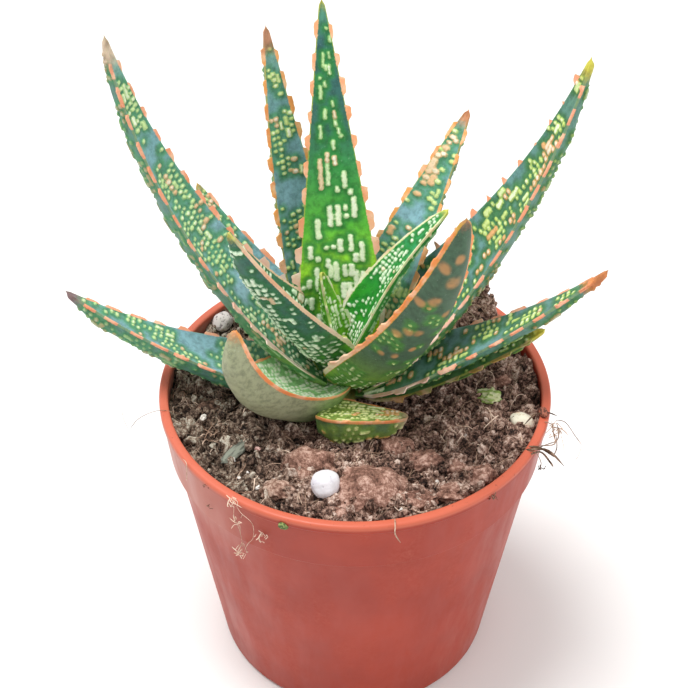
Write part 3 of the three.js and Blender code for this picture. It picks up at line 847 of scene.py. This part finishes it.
def potMaterial(shape):
    paint = Paint("terracotta plastic")
    height = paint.place("Z")
    cloud = paint.noise(26 * mm, 4, 0.6)
    smear = paint.noise(9 * mm, 4, 0.65, (1, 1, 0.25))
    dust = paint.noise(1.4 * mm, 4, 0.75)
    skin = paint.ramp(paint.remap(cloud, 0.3, 0.7), shape["tones"])
    pale = paint.times(paint.remap(smear, 0.45, 0.75), paint.remap(dust, 0.35, 0.7))
    skin = paint.mix(paint.times(pale, 0.22), skin, shape["smear"])
    # Dust and painted sheen: the collar's upper part is painted paler towards its left.
    leftSide = paint.remap(paint.place("X"), -18 * mm, -46 * mm, 0.0, 0.5)
    dustAndSheen = paint.times(leftSide, paint.remap(height, 60 * mm, 76 * mm))
    skin = paint.mix(dustAndSheen, skin, shape["dust"])
    # Painted light: the rim's top is painted lighter, as if lit from above.
    skin = paint.coat(skin, shape["lip"], height, 88.2 * mm, 89.2 * mm, 0.0, 0.9)
    grime = paint.times(paint.remap(dust, 0.62, 0.72), paint.remap(height, 80 * mm, 90 * mm))
    skin = paint.mix(paint.times(grime, 0.5), skin, shape["grime"])
    paint.inputs["Specular IOR Level"].default_value = 0.3
    relief = paint.plus(paint.times(cloud, 2.0), dust)
    return paint.finish(skin, (smear, 0.3, 0.7, 0.34, 0.55), relief, 0.12, 0.12 * mm)


finishPiece(makePot(potShape), potMaterial(potShape), "pot_plastic", "pot")
print("pot made")

# Potting mix: level below the lip, dished under the rosette, heaped against the rim at the back.
mixShape = {
    "edgeHeight": 87,
    "dishDepth": 4,
    "dishSpread": 24,
    "lumpHeight": 1.5,
    "lumpLength": 11,
    "heapHeight": 11,
    "heapPlace": (36, 27),
    "heapSpread": 8,
    "heapToe": 4,
    "radius": 49.85,
    "crust": 1.7,
    "crustSize": 4.2,
    "rings": 120,
    "segments": 420,
    "sides": [(49.85, 74.2), (48.3, 72.8), (38.6, 1.7), (0, 1.7)],
}


def levelAt(x, y):
    shape = mixShape
    wave = 2 * math.pi / shape["lumpLength"]
    lumps = (np.sin(x * wave + 1.7 * np.sin(y * wave * 0.6))
             * np.sin(y * wave * 1.1 + 1.3 * np.sin(x * wave * 0.7) + 0.8))
    dish = np.exp(-(np.hypot(x - stemAxis["x"], y - stemAxis["y"]) / shape["dishSpread"]) ** 4)
    toe = np.clip((50 - np.hypot(x, y)) / shape["heapToe"], 0, 1)
    offHeap = np.hypot(x - shape["heapPlace"][0], y - shape["heapPlace"][1]) / shape["heapSpread"]
    heap = toe * np.exp(-offHeap ** 2)
    return (shape["edgeHeight"] - shape["dishDepth"] * dish + shape["heapHeight"] * heap
            + shape["lumpHeight"] * lumps * (1 - 0.7 * dish))


def crustAt(x, y):
    # Crumbly relief on top of the level, in mm.
    rough = [noise.fractal(Vector((px, py, 3)) / mixShape["crustSize"], 0.9, 2.1, 6)
             for px, py in zip(x.ravel(), y.ravel())]
    return mixShape["crust"] * np.array(rough).reshape(x.shape)


def makeMix(shape):
    sideRows = len(shape["sides"])
    rows = shape["rings"] + sideRows
    columns = shape["segments"]
    piece, row, column = newSheet("potting_mix_body", rows, columns)
    angles = (np.arange(columns + 1) % columns) / columns * 2 * math.pi
    radii = shape["radius"] * np.arange(shape["rings"] + 1) / shape["rings"]
    x = radii[:, None] * np.cos(angles)
    y = radii[:, None] * np.sin(angles)
    crust = crustAt(x, y)
    top = np.stack([x, y, levelAt(x, y) + crust], axis=2)
    sides = [np.stack([radius * np.cos(angles), radius * np.sin(angles), 0 * angles + height], axis=1)
             for radius, height in shape["sides"]]
    points = np.concatenate([top, np.array(sides)])
    writePoints(piece.data, points[row, column] * mm)
    # Painted shade and light: the tone follows the crust, so its hollows are painted darker and its tops
    # paler.
    shade = np.concatenate([0.32 + 0.34 * crust, np.full((sideRows, columns + 1), 0.3)])
    writeValues(piece.data, "toneAndPaintedShade", shade[row, column])

    def closeUp():
        bpy.ops.mesh.remove_doubles(threshold=1e-7)
        bpy.ops.mesh.normals_make_consistent(inside=False)

    inEditMode(piece, closeUp)
    smoothShade(piece, 60)
    return piece


def earthMaterial(name, stops, bump=0.5, greyed=0.75, contrast=0.62):
    paint = Paint(name)
    coarse = paint.noise(5 * mm, 4, 0.6)
    fine = paint.noise(0.9 * mm, 5, 0.75)
    specks = paint.noise(0.5 * mm, 2, 0.6)
    drift = paint.plus(paint.times(paint.remap(coarse, 0.3, 0.7), 0.3),
                       paint.times(paint.remap(fine, 0.34, 0.66), contrast))
    # The tone read here is random for crumbs and threads, and painted shade where it follows the relief
    # of the mix, the clods and the lumps.
    value = paint.plus(paint.times(paint.read("toneAndPaintedShade"), 0.7), drift)
    skin = paint.ramp(paint.plus(value, 0.06 - contrast / 2), stops)
    skin = paint.coat(skin, "#d2bcac", specks, 0.67, 0.75, 0.0, 0.55)
    skin = paint.coat(skin, "#cfe6e0", paint.place("X"), -6 * mm, -34 * mm, 0.0, greyed, "MULTIPLY")
    paint.inputs["Specular IOR Level"].default_value = 0.25
    return paint.finish(skin, (fine, 0.3, 0.7, 0.78, 0.97), fine, bump, 0.5 * mm)


earthStops = [(0, "#110a08"), (0.2, "#33221b"), (0.42, "#6b5045"), (0.65, "#a08070"), (0.95, "#dcc6b8")]
clodStops = [(0, "#24160f"), (0.25, "#4c332a"), (0.5, "#785548"), (0.75, "#9f7767"), (1, "#d0ac9c")]
earth = earthMaterial("potting mix", earthStops)
finishPiece(makeMix(mixShape), earth, "potting_mix", "potting_mix")
print("potting mix made")


# Loose things: lumps made from one icosphere, and threads made from a path.
def newPiece(name, points, faces):
    mesh = bpy.data.meshes.new(name)
    mesh.from_pydata((points * mm).tolist(), [], faces)
    piece = bpy.data.objects.new(name, mesh)
    bpy.context.collection.objects.link(piece)
    return piece


def scatterLumps(name, spots, level, jitter, rng):
    # Spots are (place, half sizes, shade); each lump is turned at random and dented.
    ball, template = newBall("template", level)
    faces = np.array([face.vertices[:] for face in ball.data.polygons])
    bpy.ops.object.delete()
    points = []
    for place, sizes, shade in spots:
        turn = Euler([rng.uniform(0, 6.3) for axis in range(3)]).to_matrix()
        dents = np.array([rng.uniform(1 - jitter, 1 + jitter) for point in template])
        points.append((template * dents[:, None] * np.array(sizes)) @ np.array(turn).T + np.array(place))
    offsets = np.arange(len(spots)) * len(template)
    allFaces = (faces[None] + offsets[:, None, None]).reshape(-1, 3)
    piece = newPiece(name, np.concatenate(points), allFaces.tolist())
    writeValues(piece.data, "toneAndPaintedShade", np.repeat([spot[2] for spot in spots], len(template)))
    return piece


def threadMesh(name, threads, sides=3):
    # Threads are (path, radius, shade); each is a thin closed tube that thins out at both ends.
    points = []
    faces = []
    shades = []
    angles = np.arange(sides)[:, None] / sides * 2 * math.pi
    for path, radius, shade in threads:
        path = np.array(path, float)
        along = np.gradient(path, axis=0)
        along /= np.linalg.norm(along, axis=1, keepdims=True) + 1e-9
        across = np.cross(along, [0.31, 0.17, 0.94])
        across /= np.linalg.norm(across, axis=1, keepdims=True) + 1e-9
        ring = across[:, None] * np.cos(angles) + np.cross(along, across)[:, None] * np.sin(angles)
        place = np.linspace(0, 1, len(path))
        girth = radius * np.clip(np.minimum(place, 1 - place) * 6, 0.25, 1)
        first = len(points)
        points.extend((path[:, None] + ring * girth[:, None, None]).reshape(-1, 3))
        last = len(points) - sides
        shades += [shade] * (last + sides - first)
        for low in range(first, last, sides):
            for side in range(sides):
                after = (side + 1) % sides
                faces.append((low + side, low + after, low + sides + after, low + sides + side))
        faces.append(tuple(range(first + sides - 1, first - 1, -1)))
        faces.append(tuple(range(last, last + sides)))
    piece = newPiece(name, np.array(points), faces)
    writeValues(piece.data, "toneAndPaintedShade", np.array(shades))
    inEditMode(piece, lambda: bpy.ops.mesh.normals_make_consistent(inside=False))
    return piece


def groundAt(x, y):
    spot = np.array([[x], [y]], float)
    return float((levelAt(*spot) + crustAt(*spot))[0])


def randomSpot(rng, radius):
    while True:
        x, y = rng.uniform(-radius, radius), rng.uniform(-radius, radius)
        if math.hypot(x, y) < radius:
            return x, y


# Crumbs: fine ones everywhere and coarser ones. lift is how high they lie, in their own size.
crumbs = {
    "fine_crumbs": dict(count=3200, radius=48.6, size=(0.35, 1.0), spread=(0.7, 1.5), shade=(0.44, 0.2),
        halves=((0.9, 2.1), (0.6, 1.1), (0.4, 0.9)), lift=0.25, level=1, jitter=0.35),
    "coarse_crumbs": dict(count=520, radius=47.5, size=(0.8, 1.8), shade=(0.42, 0.18),
        halves=((0.9, 1.6), (0.7, 1.1), (0.45, 0.8)), lift=0.2, level=2, jitter=0.34),
}


def crumbSpots(plan, rng):
    spots = []
    for index in range(plan["count"]):
        x, y = randomSpot(rng, plan["radius"])
        size = rng.uniform(*plan["size"])
        if "spread" in plan:
            size *= rng.uniform(*plan["spread"])
        shade = min(1, max(0, rng.gauss(*plan["shade"])))
        sizes = [size * rng.uniform(*half) for half in plan["halves"]]
        spots.append(((x, y, groundAt(x, y) + plan["lift"] * size), sizes, shade))
    return spots


crumbChance = random.Random(7)
spots = {name: crumbSpots(plan, crumbChance) for name, plan in crumbs.items()}
for name, plan in crumbs.items():
    piece = scatterLumps(name, spots[name], plan["level"], plan["jitter"], crumbChance)
    finishPiece(piece, earth, "potting_mix")

# Clods: where the photograph has them (place, half sizes, shade), and small lumps anywhere.
clods = [
    ((3.6, -37), (9.2, 7.6, 6.4), 0.66), ((-11.6, -28.5), (7.6, 6.0, 5.2), 0.58),
    ((17.7, -27.5), (4.6, 3.6, 3.2), 0.66), ((25.2, -29.4), (3.4, 3.0, 2.8), 0.72),
    ((31.5, -32.0), (4.6, 3.0, 2.8), 0.7), ((10.7, -21.5), (4.2, 3.4, 2.6), 0.6),
    ((-20.1, -37.5), (4.2, 2.8, 2.4), 0.68), ((14, -40.5), (6.5, 3.2, 2.8), 0.52),
    ((-39, -8), (3.6, 3.0, 2.2), 0.35), ((40, 4), (3.2, 2.8, 2.4), 0.6),
    ((24, -38.5), (4.0, 3.0, 2.5), 0.62), ((-4.5, -44), (4.2, 2.4, 2.2), 0.7),
    ((33, 30), (3.4, 2.8, 2.6), 0.45), ((41, 22), (3.0, 2.8, 2.2), 0.62),
]
lumps = dict(count=70, radius=46, size=(1.5, 3.4), halves=((0.6, 0.9), (0.5, 0.75)), shade=(0.15, 0.55))
# In clodSkin, contrast is how strongly the painted shade follows the dents.
clodSkin = dict(density=1.9, dents=0.26, sunk=0.12, contrast=0.4)


def makeClod(name, place, sizes, shade, seed):
    piece, points = newBall(name, 4)
    rough = roughnessAt(points, clodSkin["density"], (seed, 0, 0), 0.7, 2.1, 7)
    points = points * (1 + clodSkin["dents"] * rough[:, None]) * np.array(sizes)
    points += np.array([*place, groundAt(*place) - clodSkin["sunk"] * sizes[2]])
    # Painted shade and light: the tone follows the dents, darker in them and paler on the bumps.
    return shapeBall(piece, points, shade + clodSkin["contrast"] * rough)


def makeLump(plan, rng, seed):
    size = rng.uniform(*plan["size"])
    sizes = (size, *[size * rng.uniform(*half) for half in plan["halves"]])
    return makeClod("lump", randomSpot(rng, plan["radius"]), sizes, rng.uniform(*plan["shade"]), seed)


clodPieces = [makeClod("clod", *clod, 5 * index) for index, clod in enumerate(clods)]
lumpChance = random.Random(19)
lumpPieces = [makeLump(lumps, lumpChance, 100 + index) for index in range(lumps["count"])]
finishPiece(joinPieces(lumpPieces, "lumps"), earth, "potting_mix")
clodEarth = earthMaterial("clod", clodStops, 0.6, 0.75, 0.5)
finishPiece(joinPieces(clodPieces, "clods"), clodEarth, "potting_mix")
print("crumbs and clods scattered")

# Fibres: short threads that lie over the mix.
fibres = {
    "count": 700,
    "within": 46.5,
    "edge": 49,
    "length": (3, 14),
    "radius": (0.05, 0.17),
    "bend": 0.5,
    "wander": 0.2,
    "steps": 8,
    "clearance": 0.2,
    "arch": (0.1, 0.9),
    "shade": (0.62, 0.25),
}


def makeFibres(plan):
    rng = random.Random(11)
    steps = plan["steps"]
    threads = []
    for index in range(plan["count"]):
        x, y = randomSpot(rng, plan["within"])
        heading = rng.uniform(0, 2 * math.pi)
        turn = rng.uniform(-plan["bend"], plan["bend"])
        length = rng.uniform(*plan["length"])
        arch = rng.uniform(*plan["arch"])
        path = []
        for step in range(steps + 1):
            height = groundAt(x, y) + plan["clearance"] + arch * math.sin(step / steps * math.pi)
            path.append((x, y, height))
            heading += turn / 2 + rng.uniform(-plan["wander"], plan["wander"])
            x += math.cos(heading) * length / steps
            y += math.sin(heading) * length / steps
            pull = min(1, plan["edge"] / math.hypot(x, y))
            x, y = x * pull, y * pull
        radius = rng.uniform(*plan["radius"])
        threads.append((path, radius, min(1, max(0.05, rng.gauss(*plan["shade"])))))
    return threadMesh("fibres", threads)


fibreStops = [(0, "#241812"), (0.35, "#5d4636"), (0.65, "#b0907a"), (0.9, "#e6cdb8")]
fibreSkin = earthMaterial("fibre", fibreStops, 0.2, 0.0, 0.3)
finishPiece(makeFibres(fibres), fibreSkin, "potting_mix")
print("fibres laid")

# Grains: white perlite at the front and the back, and a cream granule at the right.
grains = {
    "perlite_front": dict(place=(-7.6, -37), size=(7.4, 7.2, 7.2), turn=20, slot="perlite", pits=0.035,
        rise=0.15),
    "perlite_back": dict(place=(-37.5, 27), size=(6.4, 5.6, 5.0), turn=70, slot="perlite", pits=0.08,
        rise=0.15),
    "bark_chip": dict(place=(44, -12.5), size=(6.8, 5.0, 4.4), turn=155, slot="bark", pits=0.03,
        rise=0.34),
}
grainRules = dict(bulgeDensity=2.4, bulge=0.14, pitDensity=9, pitFrom=0.05)


def makeGrain(name, grain, seed):
    piece, points = newBall(name + "_fine", 5, 0.5)
    places = [Vector(point) * grainRules["bulgeDensity"] + Vector((seed, 0, 0)) for point in points]
    bulges = grainRules["bulge"] * np.array([noise.noise(place) for place in places])
    pits = roughnessAt(points, grainRules["pitDensity"], (0, seed, 0), 0.7, 2.2, 4)
    scale = 1 + bulges - grain["pits"] * np.maximum(0, pits - grainRules["pitFrom"])
    points = points * scale[:, None] * np.array(grain["size"])
    turn = np.array(Euler((0, 0, math.radians(grain["turn"]))).to_matrix())
    x, y = grain["place"]
    centre = levelAt(x, y) + grain["rise"] * grain["size"][2]
    # Painted shade: the tone is the pit depth, so the pits are painted darker.
    return shapeBall(piece, points @ turn.T + np.array([x, y, centre]), pits)


def grainMaterial(name, pale, dark, warm, pitFrom=0.25):
    paint = Paint(name)
    fine = paint.noise(0.5 * mm, 4, 0.7)
    # The dark colour goes where the tone is high: painted shade in the pits of grains, and on flakes it
    # follows their bumps.
    skin = paint.coat(pale, dark, paint.read("toneAndPaintedShade"), pitFrom, pitFrom + 0.35)
    skin = paint.coat(skin, warm, paint.noise(3 * mm, 3), 0.5, 0.72, 0.0, 0.75)
    return paint.finish(skin, (fine, 0.3, 0.7, 0.7, 0.92), fine, 0.4, 0.25 * mm)


# The second colour of each grain is the painted shade in its pits.
grainSkins = {
    "perlite_front": grainMaterial("white perlite", "#e8e6ea", "#8f8a98", "#cbc6d2", 0.5),
    "perlite_back": grainMaterial("grey perlite", "#d8cfca", "#8c8280", "#e2dad2", 0.05),
    "bark_chip": grainMaterial("cream granule", "#ece6d0", "#b09468", "#d8a468", 0.45),
}
for number, (name, grain) in enumerate(grains.items()):
    finishPiece(makeGrain(name, grain, 3.7 * number + 1), grainSkins[name], grain["slot"], name)
print("grains placed")

# Strays: flakes and specks on the mix, rootlets over the collar and a bundle of fibres over the lip.
flakes = {
    "grey_chip": dict(place=(-30.2, -24.3), halves=(6.6, 1.8, 0.8), heading=60, tilt=8, pale="#84887a",
        dark="#5a5c52"),
    "lime_flake": dict(place=(35.8, -4.7), halves=(3.7, 2.7, 1.2), heading=130, tilt=16, pale="#dfe2b4",
        dark="#93ac58", ragged=0.42),
    "pale_flake": dict(place=(-39.6, -14.3), halves=(1.4, 0.8, 0.5), heading=80, tilt=10, pale="#e9e4dc",
        dark="#b9b0a4"),
    "pink_flake": dict(place=(-25.2, -23.6), halves=(1.3, 0.8, 0.6), heading=120, tilt=30, pale="#eac6be",
        dark="#b98a80"),
    "green_crumb": dict(place=(-17.6, -49.6), halves=(1.5, 0.9, 0.9), heading=20, tilt=35, height=87.6,
        pale="#8a9a5a", dark="#4f5f34"),
    "red_crumb": dict(place=(49.2, -12.6), halves=(2.0, 1.2, 1.0), heading=100, tilt=10, height=90.6,
        pale="#a8644e", dark="#5c3428"),
}
flakeRules = dict(density=2.2, ragged=0.16, rise=1.8)
whiteSpecks = {
    "places": [(-32.1, -20.7), (-27.2, -30.4), (-31, -28.4), (-24.4, -36.8), (-29.3, -32.6),
               (-20.6, -34.4), (28.6, -17.2), (20.3, -34.9), (11, -44.6), (-9.4, -45.8)],
    "halves": (0.75, 0.5, 0.45),
    "rise": 0.5,
}


def makeFlake(name, flake, seed):
    piece, points = newBall(name, 4)
    rough = roughnessAt(points, flakeRules["density"], (seed, 0, 0), 0.7, 2.1, 5)
    turn = Euler((0, math.radians(flake["tilt"]), math.radians(flake["heading"]))).to_matrix()
    ragged = flake.get("ragged", flakeRules["ragged"])
    points = points * (1 + ragged * rough[:, None]) * np.array(flake["halves"])
    x, y = flake["place"]
    height = flake.get("height", groundAt(x, y) + flakeRules["rise"])
    return shapeBall(piece, points @ np.array(turn).T + np.array([x, y, height]), 0.5 + rough)


for number, (name, flake) in enumerate(flakes.items()):
    skin = grainMaterial(name, flake["pale"], flake["dark"], flake["pale"], 0.35)
    finishPiece(makeFlake(name, flake, 2.3 * number + 1), skin, "potting_mix")
speckSpots = [((x, y, groundAt(x, y) + whiteSpecks["rise"]), whiteSpecks["halves"], 1)
              for x, y in whiteSpecks["places"]]
specks = scatterLumps("white_specks", speckSpots, 2, 0.25, random.Random(23))
finishPiece(specks, grainMaterial("white speck", "#efe9e2", "#c9bfb4", "#efe9e2", 2), "perlite")

# Threads that run over the collar and the lip, in mm, with their radius and how pale they are. The
# bundle at the right is from the eighth on.
rootlets = [
    ([(-30.6, -42.6, 90.6), (-29.4, -44.6, 90.2), (-28.2, -45.6, 88), (-25.4, -46.6, 85),
      (-25.4, -46.6, 80), (-27, -45.2, 76), (-28.5, -44, 71)], 0.07, 0.8),
    ([(-30.2, -42, 90.4), (-29.8, -44, 89.8), (-30, -44.2, 85), (-28.9, -44.2, 80),
      (-28.4, -44.2, 74), (-28.9, -43.4, 70.5)], 0.06, 0.75),
    ([(-23.1, -47.6, 83), (-23.9, -47, 80.5), (-23.6, -46.9, 78.4)], 0.16, 0.85),
    ([(9.3, -49.4, 90.4), (9.3, -52.4, 90.6), (9.4, -52.8, 88), (10.8, -52.4, 84.6)], 0.16, 0.75),
    ([(-43.6, -29.8, 90.6), (-42.4, -31.8, 91), (-42.6, -32, 87), (-43, -31, 84)], 0.12, 0.85),
    ([(-46, -11, 88.6), (-51.2, -11.9, 90.6), (-56, -15.2, 91), (-58.8, -17.4, 88.6)], 0.09, 0.3),
    ([(-58.8, -17.4, 88.6), (-60.3, -15, 90.6), (-61, -12.6, 92)], 0.05, 0.4),
    ([(41.4, -25.3, 88.4), (44.8, -26.2, 90.4), (48.8, -27.3, 91), (52.5, -30.7, 89)], 0.34, 0.2),
    ([(42.6, -24, 88.6), (46.4, -25.8, 90.8), (50.5, -28.7, 90)], 0.3, 0.3),
    ([(43.2, -27.1, 88.6), (46.7, -27.5, 90.8), (49.4, -28.4, 88), (50.2, -29.1, 87)], 0.26, 0.2),
    ([(43, -25.6, 88.4), (48.5, -25.1, 91), (51.6, -22.5, 90), (52.7, -18.1, 89),
      (52.2, -15.4, 90)], 0.16, 0.35),
    ([(46.5, -25, 90.6), (50.9, -23.5, 89.6), (51.1, -19.5, 89.8), (50.9, -16.3, 91)], 0.18, 0.5),
    ([(50.3, -26.5, 88), (51.8, -22.8, 87.6), (52, -19, 88.6)], 0.14, 0.25),
    ([(52, -15.6, 90.6), (54.4, -16.9, 91), (56.6, -21.1, 90), (58.1, -23.3, 89)], 0.12, 0.28),
    ([(52.6, -17.3, 90), (53.5, -21.2, 88), (53.6, -24.6, 87)], 0.08, 0.6),
    ([(43.8, -16.5, 89.6), (46.7, -13.9, 90.8), (50.2, -13.1, 90.9), (52.8, -13.9, 90.4)], 0.2, 0.1),
    ([(58.1, -23.3, 89), (56.6, -26, 87), (54.5, -26.9, 87)], 0.05, 0.55),
    ([(43.6, -26.2, 89.8), (45.6, -27.6, 90.6), (46.9, -28.5, 88.6), (47.2, -28.7, 86.8)], 0.1, 0.4),
]
# Tufts of fine threads: the middle, how many, how far they spread, and how pale they are.
threadTufts = [(-30.2, -44.4, 90.4, 12, 1.4, 1.1), (-28.7, -45.4, 84.4, 7, 1.8, 1.0),
               (-28.6, -44.2, 72, 14, 1.6, 1.05), (-23.3, -47.4, 81.5, 8, 1.2, 1.1),
               (33.6, -40.6, 88, 8, 1.2, 0.3), (-35.8, -16.6, 86.6, 40, 3.0, 0.5),
               (51.6, -18.6, 89.6, 16, 2.2, 0.7), (47.2, -28.8, 86.4, 10, 0.9, 0.05),
               (-37.1, -37.2, 88.1, 4, 0.7, 0.1), (-37, -37.2, 81.3, 4, 0.7, 0.1)]
tuftRules = dict(reach=0.4, bend=0.2, radius=(0.06, 0.16), paleSpread=0.15)


def curveThrough(corners, steps=5):
    # A smooth path through its corners.
    corners = np.array(corners, float)
    ends = np.vstack([corners[0], corners, corners[-1]])
    path = []
    for index in range(len(corners) - 1):
        before, start, stop, after = ends[index:index + 4]
        for share in np.arange(steps) / steps:
            path.append(0.5 * (2 * start + (stop - before) * share
                               + (2 * before - 5 * start + 4 * stop - after) * share ** 2
                               + (3 * start - before - 3 * stop + after) * share ** 3))
    return np.array(path + [corners[-1]])


def randomWay(rng, spread):
    return np.array([rng.gauss(0, spread) for axis in range(3)])


def makeStrayThreads():
    rng = random.Random(31)
    rules = tuftRules
    threads = [(curveThrough(path), radius, pale) for path, radius, pale in rootlets]
    for x, y, z, count, spread, pale in threadTufts:
        for index in range(count):
            middle = np.array([x, y, z]) + randomWay(rng, spread / 2)
            reach = randomWay(rng, 1) * spread * rules["reach"]
            bend = randomWay(rng, 1) * spread * rules["bend"]
            path = curveThrough([middle - reach, middle + bend, middle + reach], 3)
            radius = rng.uniform(*rules["radius"])
            threads.append((path, radius, pale + rng.uniform(-1, 1) * rules["paleSpread"]))
    return threadMesh("stray_threads", threads, 4)


finishPiece(makeStrayThreads(), fibreSkin, "potting_mix")
print("strays laid")

# Stem: the plan's own shape, hidden between the leaf feet.
stem = bpy.data.objects["stem"]
stem.data.materials.clear()
stem.data.materials.append(leafMaterials["heart"])
print("stem finished")

# Floor and lights: a plain pale floor and soft studio light.
studio = {
    "floorSize": 6,
    "floorDrop": 0.0002,
    "aim": (0, 0, 0.09),
    "floorTone": "#f4f3f1",
    "worldTone": "#ffffff",
    "worldStrength": 0.7,
    "lights": [
        {"place": (-0.35, 0.1, 1.4), "size": 0.7, "power": 16.5},
        {"place": (0.9, -0.5, 0.8), "size": 0.6, "power": 3},
    ],
}


def makeStudio(setup):
    deselectAll()
    bpy.ops.mesh.primitive_plane_add(size=setup["floorSize"], location=(0, 0, -setup["floorDrop"]))
    bpy.ops.object.transform_apply(location=True, rotation=True, scale=True)
    floor = bpy.context.active_object
    floor.name = "floor"
    paint = Paint("pale floor")
    paint.inputs["Base Color"].default_value = tone(setup["floorTone"])
    paint.inputs["Roughness"].default_value = 0.9
    floor.data.materials.append(paint.material)
    world = bpy.data.worlds.new("studio")
    bpy.context.scene.world = world
    world.use_nodes = True
    background = world.node_tree.nodes["Background"]
    background.inputs["Color"].default_value = tone(setup["worldTone"])
    background.inputs["Strength"].default_value = setup["worldStrength"]
    for lamp in setup["lights"]:
        place = Vector(lamp["place"])
        turn = (Vector(setup["aim"]) - place).to_track_quat("-Z", "Y").to_euler()
        bpy.ops.object.light_add(type="AREA", location=place, rotation=turn)
        light = bpy.context.active_object
        light.data.shape = "DISK"
        light.data.size = lamp["size"]
        light.data.energy = lamp["power"]


makeStudio(studio)
print("floor and lights set")
